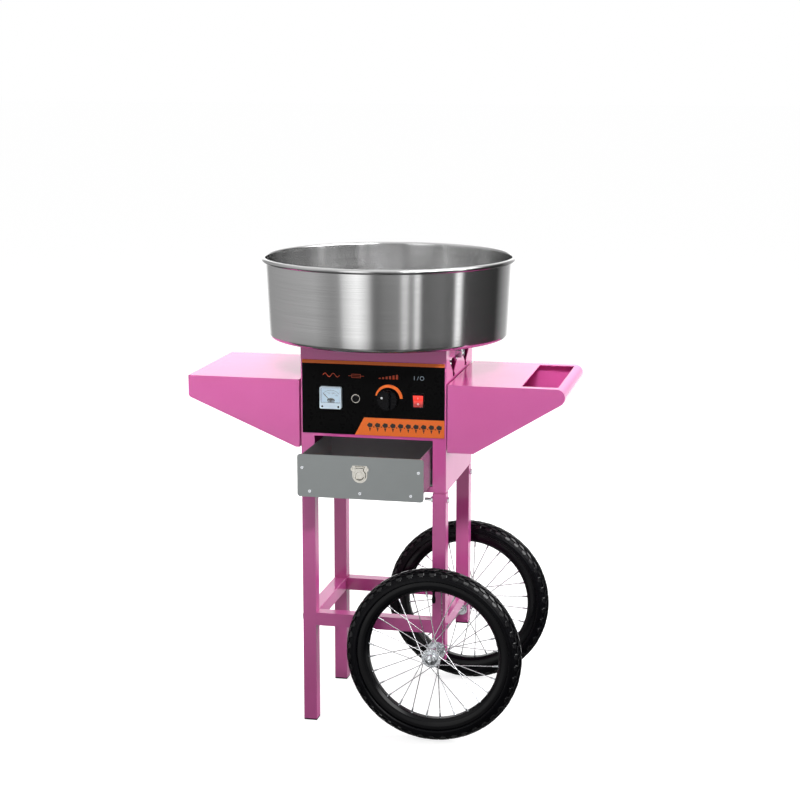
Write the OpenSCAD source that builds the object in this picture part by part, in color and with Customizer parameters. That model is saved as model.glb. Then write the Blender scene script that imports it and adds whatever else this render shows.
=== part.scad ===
// Cotton candy machine on a two-wheeled cart: spinning head in a steel bowl,
// machine housing with a drawer, two side shelves, a tube frame and spoked wheels.
// Millimetres, +Z up, front towards -Y, origin on the floor under the bowl's axis.

/* [Bowl] */
// Outer diameter of the bowl's rolled rim
bowl_d = 520; // [500:1:540]
// Height of the bowl from its flat bottom to the top of the rim
bowl_h = 163; // [150:1:180]
// Height of the bowl's flat bottom above the floor
bowl_z = 790; // [790:1:790]
// Thickness of the spun steel
bowl_t = 1.5; // [1:0.1:2]
// Radius of the rolled rim
roll_r = 5; // [4:0.5:6]
// Radius of the opening in the bowl's bottom for the spinning head
bowl_hole_r = 62; // [58:1:70]

/* [Housing] */
// Width of the housing
house_w = 296; // [296:1:296]
// Depth of the housing
house_d = 284; // [284:1:284]
// Height of the housing's bottom above the floor
house_z = 497; // [497:1:497]
// Height of the housing's top above the floor
house_top = 786; // [786:1:786]
// Thickness of the sheet metal
sheet = 2; // [1.5:0.1:2]
// Height of the top of the drawer opening
bay_top = 602; // [600:1:603]
// Height of the bottom of the drawer opening
bay_z = 508; // [506:1:509]
// Half the width of the drawer opening
bay_x = 121; // [120:1:122]

/* [Control panel] */
// Height of the row of instruments
row_z = 682; // [678:1:686]
// Position of the voltmeter's centre
meter_x = -85; // [-88:1:-82]
// Side of the square voltmeter
meter_w = 44; // [42:1:46]
// Position of the fuse holder's centre
fuse_x = -34; // [-36:1:-32]
// Position of the temperature knob's centre
knob_x = 31; // [29:1:33]
// Diameter of the temperature knob
knob_d = 40; // [36:1:42]
// Position of the power switch's centre
switch_x = 92; // [90:1:94]

/* [Drawer] */
// How far the drawer stands open
drawer_out = 109.2; // [60:0.1:111]
// Length of the drawer box
drawer_l = 232; // [200:1:240]
// Half the width of the drawer box
drawer_x = 118; // [116:1:118]
// Height of the underside of the drawer box
drawer_z = 512; // [512:1:514]
// Height of the drawer box
drawer_h = 76; // [70:1:78]

/* [Shelves] */
// Height of the shelf tops above the floor
shelf_z = 716; // [700:1:720]
// Distance of the shelves' outer ends from the middle
shelf_reach = 383; // [370:1:390]
// Depth of the shelves
shelf_d = 292; // [284:1:296]
// Gap between the shelves and the housing
shelf_gap = 3; // [2:0.5:4]
// Radius of the rolled handle at the end of the right shelf
nose_r = 17; // [14:1:20]

/* [Frame] */
// Side of the square leg tube
tube = 27; // [27:1:27]
// Wall thickness of the tube
tube_t = 2; // [1.5:0.1:2]
// Height of the middle of the stretchers
stretch_z = 218.5; // [210:0.5:240]
// Height of the lower ends of the wheel legs
stub_z = 149.5; // [140:0.5:155]

/* [Wheels] */
// Outer radius of the tyres
tyre_r = 178; // [178:1:178]
// Radius of the tyre's section
tyre_s = 20; // [18:1:20]
// Distance of the wheels' middle planes from the middle of the cart
wheel_y = 193; // [192:1:196]
// Outer radius of the rim
rim_r = 154; // [154:1:154]
// Inner radius of the rim
rim_in = 132; // [132:1:134]
// Number of spokes in each wheel
spokes = 28; // [28:4:36]
// Radius of the axles
axle_r = 5; // [4.5:0.1:6]

/* [Hidden] */
$fn = 64;
w2 = house_w / 2;
d2 = house_d / 2;
front = -d2;
leg_x = w2 - tube / 2;
leg_y = d2 - tube / 2;
leg_top = house_z - 2.5;
bolt_z = 480;
axle_z = tyre_r;
run = 0.05;
rim_top = bowl_z + bowl_h;
panel_t = 1.5;
face = front - panel_t;
deck_z = house_top - sheet;
shelf_x = w2 + shelf_gap;
bay_roof = bay_top + 2;
drawer_front_y = face - 0.3 - drawer_out;
latch_y = -34;
latch_pin = [w2 + 9, 762];
motor_y = 88;
belt_z = 742;
groove_r = 28;
motor_groove_r = 18;
head_z = 806;

pink = [0.86, 0.45, 0.70];
steel = [0.72, 0.72, 0.73];
zinc = [0.78, 0.79, 0.80];
black = [0.05, 0.05, 0.05];
orange = [0.95, 0.45, 0.15];
copper = [0.72, 0.45, 0.2];

// ---------- shared shapes ----------

module box(low, high) {
    translate(low) cube(high - low);
}

// A cylinder along Y from y0 to y1
module rod_y(r, y0, y1, x = 0, z = 0) {
    translate([x, y1, z]) rotate([90, 0, 0]) cylinder(r = r, h = y1 - y0);
}

// A cylinder along X from x0 to x1
module rod_x(r, x0, x1, y = 0, z = 0) {
    translate([x0, y, z]) rotate([0, 90, 0]) cylinder(r = r, h = x1 - x0);
}

// A rod between two points
module strut(a, b, r) {
    d = b - a;
    l = norm(d);
    translate(a) rotate([0, acos(d.z / l), atan2(d.y, d.x)]) cylinder(r = r, h = l, $fn = 16);
}

// A plate in the XZ plane with rounded corners, from y0 to y1
module round_plate(x0, x1, z0, z1, y0, y1, r) {
    box([x0 + r, y0, z0], [x1 - r, y1, z1]);
    box([x0, y0, z0 + r], [x1, y1, z1 - r]);
    for (x = [x0 + r, x1 - r], z = [z0 + r, z1 - r]) rod_y(r, y0, y1, x, z);
}

module both_sides() {
    children();
    mirror([1, 0, 0]) children();
}

// Extrudes a drawing of (x, z) points along Y, centred on y = 0
module along_y(depth) {
    translate([0, depth / 2, 0]) rotate([90, 0, 0]) linear_extrude(depth) children();
}

// ---------- housing ----------

vent_top = 759;
vent_tip = 719;
vent_half = 46;
vent_places = [-65, 65];

// Dart-shaped vent in a side wall: wide above, narrowing to a slit that ends in a hook
module vent_cut(y) {
    translate([-w2 - 1, 0, 0]) rotate([90, 0, 90]) linear_extrude(house_w + 2) {
        polygon([[y - vent_half, vent_top], [y + vent_half, vent_top], [y + 30, vent_top - 14],
            [y + 14, vent_top - 23], [y + 5, vent_tip + 10], [y + 14, vent_tip + 4], [y + 10, vent_tip],
            [y - 9, vent_tip + 2], [y - 9, vent_tip + 12], [y - 27, vent_top - 14]]);
    }
}

module housing_shell() {
    color(pink) difference() {
        box([-w2, front, house_z], [w2, d2 - sheet, house_top]);
        box([-w2 + sheet, front + sheet, house_z - 1], [w2 - sheet, d2, house_top + 1]);
        box([-bay_x, front - 1, bay_z], [bay_x, front + 5, bay_top]);
        box([-126, front - 1, 640], [126, front + 5, 726]);
        for (y = vent_places) vent_cut(y);
        for (y = shelf_bolt_y, z = shelf_bolt_z) rod_x(3.2, -w2 - 1, w2 + 1, y, z);
    }
}

module vent_baffles() {
    color(pink) both_sides() for (y = vent_places)
        box([w2 - sheet - 18, y - 50, vent_tip - 6], [w2 - sheet - 16.5, y + 50, deck_z]);
}

module top_deck() {
    color(pink) difference() {
        box([-w2 + sheet, front + sheet, deck_z], [w2 - sheet, d2 - sheet, house_top]);
        translate([0, 0, deck_z - 1]) cylinder(r = 22.3, h = sheet + 2);
    }
}

module divider_shelf() {
    color(steel) difference() {
        box([-w2 + sheet, front + sheet, bay_roof], [w2 - sheet, d2 - sheet, bay_roof + sheet]);
        for (x = [-30, 30], y = [-30, 30])
            translate([x, motor_y + y, bay_roof - 1]) cylinder(r = 2.6, h = sheet + 2);
    }
}

// Bottom plate with four square stubs that the leg tubes slide onto
module bottom_plate() {
    stub = tube / 2 - tube_t - 0.1;
    color(pink) difference() {
        union() {
            box([-w2 + sheet, front + sheet, house_z], [w2 - sheet, d2 - sheet, house_z + sheet]);
            for (x = [-leg_x, leg_x], y = [-leg_y, leg_y])
                box([x - stub, y - stub, bolt_z - 22], [x + stub, y + stub, house_z]);
        }
        for (y = [-leg_y, leg_y]) rod_x(3.2, -w2, w2, y, bolt_z);
    }
}

cover_screw_x = [-136, 0, 136];
cover_screw_z = [house_z + 10, house_top - 10];
inlet_x = -95;
inlet_z = 650;

module back_cover() {
    color(pink) difference() {
        box([-w2, d2 - sheet, house_z], [w2, d2, house_top]);
        for (i = [0:7], x = [-70, 70])
            round_plate(x - 40, x + 40, 700 + 9 * i - 1.5, 700 + 9 * i + 2.5, d2 - 5, d2 + 1, 1.5);
        box([inlet_x - 14.2, d2 - 5, inlet_z - 10.2], [inlet_x + 14.2, d2 + 1, inlet_z + 10.2]);
        for (x = cover_screw_x, z = cover_screw_z) rod_y(2.1, d2 - 5, d2 + 1, x, z);
    }
}

module cover_screws() {
    color(zinc) for (x = cover_screw_x, z = cover_screw_z) {
        rod_y(2, d2 - sheet - 6, d2, x, z);
        difference() {
            rod_y(4, d2, d2 + 2.2, x, z);
            box([x - 2.8, d2 + 1.2, z - 0.5], [x + 2.8, d2 + 3, z + 0.5]);
            box([x - 0.5, d2 + 1.2, z - 2.8], [x + 0.5, d2 + 3, z + 2.8]);
        }
    }
}

// Appliance inlet socket with its three pins
module power_inlet() {
    color(black) {
        difference() {
            union() {
                box([inlet_x - 14, d2 - 22, inlet_z - 10], [inlet_x + 14, d2, inlet_z + 10]);
                round_plate(inlet_x - 24, inlet_x + 24, inlet_z - 12, inlet_z + 12, d2, d2 + 3, 5);
            }
            box([inlet_x - 11, d2 - 16, inlet_z - 7.5], [inlet_x + 11, d2 + 4, inlet_z + 7.5]);
            for (x = [-20, 20]) rod_y(1.7, d2 - 1, d2 + 4, inlet_x + x, inlet_z);
        }
    }
    color(zinc) for (p = [[-6, -1.5], [0, 2.5], [6, -1.5]])
        box([inlet_x + p.x - 1, d2 - 16, inlet_z + p.y - 2], [inlet_x + p.x + 1, d2 - 3, inlet_z + p.y + 2]);
}

// ---------- control panel ----------

panel_x = 145;
panel_low = 608;
panel_top = 757;
stripe_h = 7;
film = 0.4;
switch_w = 25.5;
switch_h = 31;
switch_body = [10.9, 13.7];

module control_panel() {
    color(black) difference() {
        box([-panel_x, face, panel_low], [panel_x, front, panel_top]);
        rod_y(19.3, face - 1, front + 1, meter_x, row_z);
        rod_y(6.2, face - 1, front + 1, fuse_x, row_z);
        rod_y(4.6, face - 1, front + 1, knob_x, row_z);
        box([switch_x - switch_body.x - 0.2, face - 1, row_z - switch_body.y - 0.2],
            [switch_x + switch_body.x + 0.2, front + 1, row_z + switch_body.y + 0.2]);
    }
}

// Orange stripe, blank orange badge and the rising band round the knob
module panel_trim() {
    color(orange) {
        box([-panel_x, face - film, panel_top - stripe_h], [panel_x, face, panel_top]);
        translate([0, face, 0]) rotate([90, 0, 0]) linear_extrude(film) {
            polygon([[-37, panel_low], [panel_x, panel_low], [panel_x, 644], [-18, 644]]);
            difference() {
                translate([knob_x + 1.6, row_z + 2.2]) circle(r = 28);
                translate([knob_x, row_z]) circle(r = 24);
                polygon([[knob_x, row_z], [knob_x - 40, row_z + 12], [knob_x - 40, row_z - 40],
                    [knob_x + 40, row_z - 40], [knob_x + 40, row_z + 4]]);
            }
        }
    }
}

meter_h2 = meter_w / 2;
meter_face = face - 9;
needle_z = row_z - 7;

module meter_case() {
    color("whitesmoke") difference() {
        union() {
            round_plate(meter_x - meter_h2, meter_x + meter_h2, row_z - meter_h2, row_z + meter_h2,
                meter_face, face, 3);
            rod_y(19, face, face + 34, meter_x, row_z);
        }
        box([meter_x - meter_h2 + 2.5, meter_face - 1, row_z - 10],
            [meter_x + meter_h2 - 2.5, face - 1.5, row_z + meter_h2 - 2.5]);
        for (x = [-17, 17]) rod_y(1.6, meter_face - 1, meter_face + 3, meter_x + x, row_z - 17);
    }
    color(black) for (x = [-17, 17]) rod_y(1.5, meter_face - 0.4, meter_face + 3, meter_x + x, row_z - 17);
}

module meter_dial() {
    color("white") difference() {
        box([meter_x - meter_h2 + 2.7, face - 2.7, row_z - 9.8],
            [meter_x + meter_h2 - 2.7, face - 1.7, row_z + meter_h2 - 2.7]);
        rod_y(1.2, face - 3, face - 1, meter_x, needle_z);
    }
}

module meter_glass() {
    color([0.9, 0.95, 1, 0.3]) box([meter_x - meter_h2 + 2.7, meter_face + 0.3, row_z - 9.8],
        [meter_x + meter_h2 - 2.7, meter_face + 1.5, row_z + meter_h2 - 2.7]);
}

// Pointer at rest at the low end of its scale
module meter_needle() {
    color(black) translate([meter_x, face - 4, needle_z]) {
        rotate([90, 0, 0]) cylinder(r = 2, h = 1);
        translate([0, 1.2, 0]) rotate([90, 0, 0]) cylinder(r = 0.8, h = 1.3);
        rotate([0, -45, 0]) translate([-0.5, -0.9, 0]) cube([1, 0.6, 21]);
    }
}

module fuse_holder() {
    color(black) difference() {
        union() {
            rod_y(8.5, face - 4, face, fuse_x, row_z);
            rod_y(6, face, face + 38, fuse_x, row_z);
        }
        rod_y(5.2, face - 5, face + 34, fuse_x, row_z);
    }
    color(zinc) difference() {
        rod_y(9, front + 0.1, front + 4, fuse_x, row_z);
        rod_y(6.1, front - 1, front + 5, fuse_x, row_z);
    }
}

module fuse_link() {
    color("white") rod_y(2.2, face + 3.5, face + 25.5, fuse_x, row_z);
    color(zinc) for (y = [face - 0.5, face + 25.5]) rod_y(2.5, y, y + 4, fuse_x, row_z);
}

module fuse_cap() {
    color(black) difference() {
        union() {
            rod_y(6.6, face - 9, face - 4.2, fuse_x, row_z);
            rod_y(4.8, face - 4.2, face - 0.5, fuse_x, row_z);
        }
        box([fuse_x - 5, face - 10, row_z - 0.7], [fuse_x + 5, face - 7.6, row_z + 0.7]);
    }
}

// Triac regulator behind the panel, with its threaded bush and nut
module regulator() {
    color([0.2, 0.25, 0.4]) difference() {
        union() {
            box([knob_x - 22, front + 3.2, row_z - 18], [knob_x + 22, front + 30, row_z + 18]);
            rod_y(4.5, face - 3, front + 3.2, knob_x, row_z);
        }
        rod_y(3.2, face - 4, front + 20, knob_x, row_z);
    }
    color(zinc) difference() {
        rod_y(7, face - 2.2, face - 0.1, knob_x, row_z);
        rod_y(4.55, face - 3, face, knob_x, row_z);
    }
}

knob_depth = 16;
knob_skirt = 7;
grip_half = 5.5;

// Round knob with an upright grip bar, a white dot beside it, and the regulator's shaft
module knob() {
    y1 = face - 3.4;
    color(black) difference() {
        union() {
            rod_y(knob_d / 2, y1 - knob_skirt, y1, knob_x, row_z);
            intersection() {
                rod_y(knob_d / 2 - 1.5, y1 - knob_depth, y1 - 1, knob_x, row_z);
                box([knob_x - grip_half, y1 - knob_depth - 1, row_z - knob_d],
                    [knob_x + grip_half, y1, row_z + knob_d]);
            }
        }
        rod_y(3.1, y1 - 11, y1 + 1, knob_x, row_z);
    }
    color("white") rod_y(1.8, y1 - knob_skirt - 0.4, y1 - knob_skirt, knob_x - 11, row_z + 4);
    color(zinc) rod_y(3.1, y1 - 11, front + 18, knob_x, row_z);
}

rocker_y = face + 2;
rocker_tilt = 8;
rocker_half = 9.6;
pivot_r = 1.2;
pivot_half = 10.45;

module switch_housing() {
    b = switch_body;
    color(black) difference() {
        union() {
            box([switch_x - b.x, front + 0.1, row_z - b.y], [switch_x + b.x, front + 20, row_z + b.y]);
            box([switch_x - switch_w / 2, face - 2, row_z - switch_h / 2],
                [switch_x + switch_w / 2, face, row_z + switch_h / 2]);
            box([switch_x - b.x, face, row_z - b.y], [switch_x + b.x, front + 0.1, row_z + b.y]);
        }
        box([switch_x - b.x + 0.9, face - 3, row_z - b.y + 0.8],
            [switch_x + b.x - 0.9, front + 9, row_z + b.y - 0.8]);
        rod_x(pivot_r + run, switch_x - pivot_half - 0.1, switch_x + pivot_half + 0.1, rocker_y, row_z);
    }
}

// Rocker on its two pivots, with its lower half pressed in
module switch_rocker() {
    color("red") {
        translate([switch_x, rocker_y, row_z]) rotate([rocker_tilt, 0, 0])
            translate([-rocker_half, 0, 0]) rotate([90, 0, 90]) linear_extrude(2 * rocker_half)
                polygon([[-5.6, -12], [-3.9, 0], [-5.6, 12], [2.5, 9], [2.5, -9]]);
        rod_x(pivot_r, switch_x - pivot_half, switch_x + pivot_half, rocker_y, row_z);
    }
}

// ---------- bowl latches ----------

latch_w = 22;

module latch_brackets() {
    color(zinc) both_sides() {
        box([w2, latch_y - latch_w / 2 - 3, 752], [w2 + 1.5, latch_y + latch_w / 2 + 3, 782]);
        for (y = [-8, 8]) rod_x(2.6, w2 + 1, w2 + 2.4, latch_y + y, 776);
        for (y = [latch_y - latch_w / 2 - 3, latch_y + latch_w / 2 + 1])
            box([w2 + 1.5, y, 755], [latch_pin[0] + 4, y + 2, 769]);
        rod_y(1.8, latch_y - latch_w / 2 - 3.6, latch_y + latch_w / 2 + 3.6, latch_pin[0], latch_pin[1]);
    }
}

// Spring lever that presses on a tab under the bowl
module latch() {
    x = latch_pin[0];
    z = latch_pin[1];
    y0 = latch_y - latch_w / 2 + 1;
    y1 = latch_y + latch_w / 2 - 1;
    color(zinc) difference() {
        union() {
            rod_y(4, y0, y1, x, z);
            translate([x, y1 - 0.6, z]) rotate([90, 0, 0]) linear_extrude(y1 - y0 - 1.2)
                polygon([[0.6, 2.8], [2.5, 2.8], [2.5, 19.6], [7, 23.4], [5.6, 25], [0.6, 20.8]]);
            box([x - 3.2, y0 + 4, z + 9], [x + 1.3, y1 - 4, z + 14]);
        }
        rod_y(1.8 + run, y0 - 1, y1 + 1, x, z);
    }
}

module latch_right() {
    latch();
}

module latch_left() {
    mirror([1, 0, 0]) latch();
}

// ---------- drawer ----------

module drawer_runners() {
    color(zinc) both_sides() {
        box([drawer_x - 16, front + 4, drawer_z - 3.3], [drawer_x + 6, d2 - 30, drawer_z - 0.3]);
        box([drawer_x + 4, front + 4, drawer_z - 0.3], [drawer_x + 6, d2 - 30, drawer_z + 24]);
        box([drawer_x + 6, front + 14, drawer_z], [w2 - sheet, front + 30, drawer_z + 20]);
        box([drawer_x + 6, d2 - 60, drawer_z], [w2 - sheet, d2 - 44, drawer_z + 20]);
    }
}

drawer_t = 1.5;
drawer_top = drawer_z + drawer_h;
drawer_back_y = drawer_front_y + drawer_l;

module drawer_box() {
    color(steel) difference() {
        box([-drawer_x, drawer_front_y, drawer_z], [drawer_x, drawer_back_y, drawer_top]);
        box([-drawer_x + drawer_t, drawer_front_y + drawer_t, drawer_z + drawer_t],
            [drawer_x - drawer_t, drawer_back_y - drawer_t, drawer_top + 1]);
    }
}

front_x = 126;
front_low = 504;
front_high = drawer_top + 1;

module drawer_front() {
    color([0.55, 0.56, 0.56]) {
        difference() {
            round_plate(-front_x, front_x, front_low, front_high, drawer_front_y - 2, drawer_front_y, 6);
            for (p = rivet_places) rod_y(1.6, drawer_front_y - 3, drawer_front_y + 1, p.x, p[1]);
        }
        both_sides() box([drawer_x - drawer_t - 28, drawer_front_y + drawer_t, drawer_top - 3],
            [drawer_x - drawer_t - 0.1, drawer_front_y + 11, drawer_top - 1.8]);
    }
}

rivet_places = [[-116, 562], [116, 562], [-101, 515.5], [0, 515.5], [101, 515.5]];

module drawer_rivets() {
    color(zinc) for (p = rivet_places) difference() {
        union() {
            rod_y(1.6, drawer_front_y - 2, drawer_front_y, p.x, p[1]);
            rod_y(3.2, drawer_front_y - 3.2, drawer_front_y - 2, p.x, p[1]);
        }
        rod_y(1, drawer_front_y - 4, drawer_front_y - 2.4, p.x, p[1]);
    }
}

pull_y = drawer_front_y - 2;
pull_z = 566;

// Nickel backing shield with two screw ears and the flap's pin
module pull_plate() {
    color(zinc) difference() {
        union() {
            box([-15, pull_y - 1, 552], [15, pull_y, pull_z + 5]);
            rod_y(15, pull_y - 1, pull_y, 0, 552);
            for (x = [-14, 14]) rod_y(4, pull_y - 1.6, pull_y, x, pull_z - 2);
            rod_x(1, -9, 9, pull_y - 3, pull_z + 2);
            for (x = [-9, 8]) box([x, pull_y - 4, pull_z], [x + 1, pull_y - 1, pull_z + 4]);
        }
        for (x = [-14, 14]) rod_y(1.3, pull_y - 3, pull_y - 0.8, x, pull_z - 2);
    }
}

// Half-round flap that hangs from the pin and lifts outwards
module pull_flap() {
    color(zinc) difference() {
        union() {
            box([-7.6, pull_y - 4.2, pull_z - 14], [7.6, pull_y - 1.8, pull_z + 2]);
            rod_y(12, pull_y - 4.2, pull_y - 1.8, 0, pull_z - 14);
            rod_x(2, -7.6, 7.6, pull_y - 3, pull_z + 2);
        }
        rod_x(1 + run, -9, 9, pull_y - 3, pull_z + 2);
        rod_y(7.5, pull_y - 4.8, pull_y - 3.4, 0, pull_z - 14);
    }
}

// ---------- shelves ----------

shelf_bolt_y = [-100, 100];
shelf_bolt_z = [594, 694];

arc_steps = 16;

// Side outline of a shelf, drawn inset by t. The underside runs from the heel point up to an arc
// of radius r, which turns into the end face, or into the top when the nose is round.
module shelf_outline(r, heel, round_nose, t) {
    c = [shelf_reach - r, shelf_z - (round_nose ? r : 38)];
    slope = atan2(c.y - heel.y, c.x - heel.x) - asin(r / norm(c - heel));
    last = round_nose ? 90 : 0;
    arc = [for (i = [0:arc_steps]) let (a = slope - 90 + (last - slope + 90) * i / arc_steps)
        c + (r - t) * [cos(a), sin(a)]];
    corner = round_nose ? [] : [[shelf_reach - t, shelf_z - t]];
    polygon(concat([[shelf_x + t, heel.y + t], heel + [-t * tan(slope / 2), t]], arc, corner,
        [[shelf_x + t, shelf_z - t]]));
}

module shelf_shell(r, heel, round_nose) {
    difference() {
        along_y(shelf_d) shelf_outline(r, heel, round_nose, 0);
        along_y(shelf_d - 2 * sheet) shelf_outline(r, heel, round_nose, sheet);
        for (y = shelf_bolt_y, z = shelf_bolt_z) rod_x(3.2, shelf_x - 1, shelf_x + sheet + 1, y, z);
    }
}

hand_x = [295, 367];
hand_y = 127;

module shelf_right() {
    color(pink) difference() {
        shelf_shell(nose_r, [203, 580], true);
        box([hand_x[0], -hand_y, shelf_z - 5], [hand_x[1], hand_y, shelf_z + 1]);
    }
}

module shelf_left() {
    color(pink) mirror([1, 0, 0]) shelf_shell(8, [shelf_x + 8, 578], false);
}

// ---------- frame ----------

module leg(z0) {
    bore = tube / 2 - tube_t;
    difference() {
        box([-tube / 2, -tube / 2, z0], [tube / 2, tube / 2, leg_top]);
        box([-bore, -bore, z0 - 1], [bore, bore, leg_top + 1]);
        rod_x(3.2, -tube, tube, 0, bolt_z);
        rod_x(3.2, -tube, tube, 0, stretch_z);
    }
}

foot_t = 3;

module legs_left() {
    color(pink) for (y = [-leg_y, leg_y]) translate([-leg_x, y, 0]) leg(foot_t);
}

module legs_right() {
    color(pink) for (y = [-leg_y, leg_y]) translate([leg_x, y, 0]) difference() {
        leg(stub_z);
        rod_y(axle_r + 0.2, -tube, tube, 0, axle_z);
    }
}

// Plastic plugs in the open tube ends: feet on the left, end plugs on the right
module leg_cap(z) {
    plug = tube / 2 - tube_t - 0.05;
    box([-tube / 2, -tube / 2, z - foot_t], [tube / 2, tube / 2, z]);
    box([-plug, -plug, z], [plug, plug, z + 14]);
}

module leg_caps() {
    color(black) for (y = [-leg_y, leg_y]) {
        translate([-leg_x, y, 0]) leg_cap(foot_t);
        translate([leg_x, y, 0]) leg_cap(stub_z);
    }
}

module stretcher_x(half) {
    bore = tube / 2 - tube_t;
    difference() {
        box([-half, -tube / 2, -tube / 2], [half, tube / 2, tube / 2]);
        box([-half + 6, -bore, -bore], [half - 6, bore, bore]);
        rod_x(3.2, -half - 1, -half + 7);
        rod_x(3.2, half - 7, half + 1);
    }
}

module cross_stretchers() {
    color(pink) for (y = [-leg_y, leg_y]) translate([0, y, stretch_z]) stretcher_x(leg_x - tube / 2);
}

module side_stretchers() {
    color(pink) for (x = [-leg_x, leg_x]) translate([x, 0, stretch_z]) difference() {
        box([-tube / 2, -leg_y + tube / 2, -tube / 2], [tube / 2, leg_y - tube / 2, tube / 2]);
        box([-tube / 2 + tube_t, -leg_y + tube / 2 - 1, -tube / 2 + tube_t],
            [tube / 2 - tube_t, leg_y, tube / 2 - tube_t]);
    }
}

// Hexagon head or nut on an axis along X
module hex_x(af, x0, x1, y, z) {
    translate([x0, y, z]) rotate([0, 90, 0]) cylinder(r = af / sqrt(3), h = x1 - x0, $fn = 6);
}

// Hexagon nut with a round bore, on an axis along Y
module nut_y(af, bore, y0, y1, x, z) {
    difference() {
        translate([x, y1, z]) rotate([90, 0, 0]) cylinder(r = af / sqrt(3), h = y1 - y0, $fn = 6);
        rod_y(bore, y0 - 1, y1 + 1, x, z);
    }
}

// Leg bolts and nuts, stretcher bolts, shelf bolts with their spacers, and the axle nuts
module frame_bolts() {
    color(zinc) both_sides() {
        for (y = [-leg_y, leg_y]) {
            hex_x(10, w2, w2 + 4, y, bolt_z);
            rod_x(3, w2 - tube - 18, w2, y, bolt_z);
            difference() {
                hex_x(10, w2 - tube - 5.2, w2 - tube, y, bolt_z);
                rod_x(3.05, w2 - tube - 6, w2 - tube + 1, y, bolt_z);
            }
            hex_x(10, w2, w2 + 4, y, stretch_z);
            rod_x(3, w2 - tube - 16, w2, y, stretch_z);
        }
        for (y = shelf_bolt_y, z = shelf_bolt_z) {
            rod_x(3, w2 - sheet - 6, shelf_x + sheet, y, z);
            hex_x(10, w2 - sheet - 4, w2 - sheet, y, z);
            difference() {
                rod_x(7, w2, shelf_x, y, z);
                rod_x(3.05, w2 - 1, shelf_x + 1, y, z);
            }
            hex_x(10, shelf_x + sheet, shelf_x + sheet + 4, y, z);
        }
    }
    inner = leg_y - tube / 2;
    color(zinc) for (s = [0, 1]) mirror([0, s, 0]) translate([leg_x, 0, axle_z]) {
        nut_y(17, axle_r + 0.02, -inner + 2, -inner + 10, 0, 0);
        difference() {
            rod_y(12, -inner, -inner + 2);
            rod_y(axle_r + 0.2, -inner - 1, -inner + 3);
        }
        nut_y(15, axle_r + 0.02, -wheel_y - 37, -wheel_y - 32.5, 0, 0);
    }
}

// ---------- wheels ----------

flange_r = 19.5;
flange_y = 24;
flange_t = 2.6;
hole_circle = 16.5;
hub_half = 29;
hub_body_r = 12;
spoke_r = 1;
cross = 2 * 720 / spokes;

// Places one wheel's parts: s = 0 in front, s = 1 behind. Local Z is the axle, outwards.
module at_wheel(s) {
    mirror([0, s, 0]) translate([leg_x, -wheel_y, axle_z]) rotate([90, 0, 0]) children();
}

module axles() {
    color(zinc) for (s = [0, 1]) at_wheel(s) {
        translate([0, 0, -wheel_y + leg_y - tube / 2 - 14]) cylinder(r = axle_r,
            h = wheel_y - leg_y + tube / 2 + 14 + 38);
        difference() {
            translate([0, 0, -wheel_y + d2]) cylinder(r = 9, h = wheel_y - d2 - hub_half - 0.5);
            translate([0, 0, -wheel_y + d2 - 1]) cylinder(r = axle_r + 0.02, h = 60);
        }
    }
}

// Hub shell with drilled flanges, and its two ball bearings
module hub() {
    color(zinc) difference() {
        union() {
            translate([0, 0, -flange_y]) cylinder(r = hub_body_r, h = 2 * flange_y);
            for (z = [-flange_y - flange_t / 2, flange_y - flange_t / 2])
                translate([0, 0, z]) cylinder(r = flange_r, h = flange_t);
            for (z = [-hub_half, flange_y]) translate([0, 0, z]) cylinder(r = 13, h = hub_half - flange_y);
        }
        translate([0, 0, -hub_half - 1]) cylinder(r = 10.5, h = 2 * hub_half + 2);
        for (i = [0:spokes / 2 - 1], s = [0, 1]) {
            a = hub_angle(i, s);
            translate([hole_circle * cos(a), hole_circle * sin(a), (2 * s - 1) * flange_y - flange_t])
                cylinder(r = 1.3, h = 2 * flange_t, $fn = 16);
        }
    }
    color(steel) for (z = [-hub_half + 0.5, hub_half - 8.5]) translate([0, 0, z]) difference() {
        cylinder(r = 10.5, h = 8);
        translate([0, 0, -1]) cylinder(r = axle_r + run, h = 10);
    }
}

function rim_angle(i, s) = (2 * i + s) * 360 / spokes + 360 / spokes / 2;
function hub_angle(i, s) = rim_angle(i, s) + (i % 2 == 0 ? cross : -cross);

// Crossed spokes from both flanges to the rim, each with its nipple
module wheel_spokes() {
    color(zinc) for (s = [0, 1], i = [0:spokes / 2 - 1]) {
        side = 2 * s - 1;
        lift = (i % 2 == 0 ? 1 : -1) * (flange_t / 2 + spoke_r);
        h = hub_angle(i, s);
        a = rim_angle(i, s);
        inner = [hole_circle * cos(h), hole_circle * sin(h), side * (flange_y + lift)];
        outer = [rim_in * cos(a), rim_in * sin(a), side * 3];
        unit = (outer - inner) / norm(outer - inner);
        strut(inner, outer, spoke_r);
        strut(outer - 12 * unit, outer, 1.9);
    }
}

rim_floor = 9;
rim_wall_y = 12;
rim_half = 14;

// Rim with a deep floor and two walls that hold the tyre
module rim() {
    floor_r = rim_in + rim_floor;
    color(black) rotate_extrude($fn = 128) polygon([[rim_in, -8], [rim_in + 7, -rim_half],
        [rim_r, -rim_half], [rim_r, -rim_wall_y], [floor_r, -rim_wall_y], [floor_r, rim_wall_y],
        [rim_r, rim_wall_y], [rim_r, rim_half], [rim_in + 7, rim_half], [rim_in, 8]]);
}

bead_y = 9;

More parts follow.
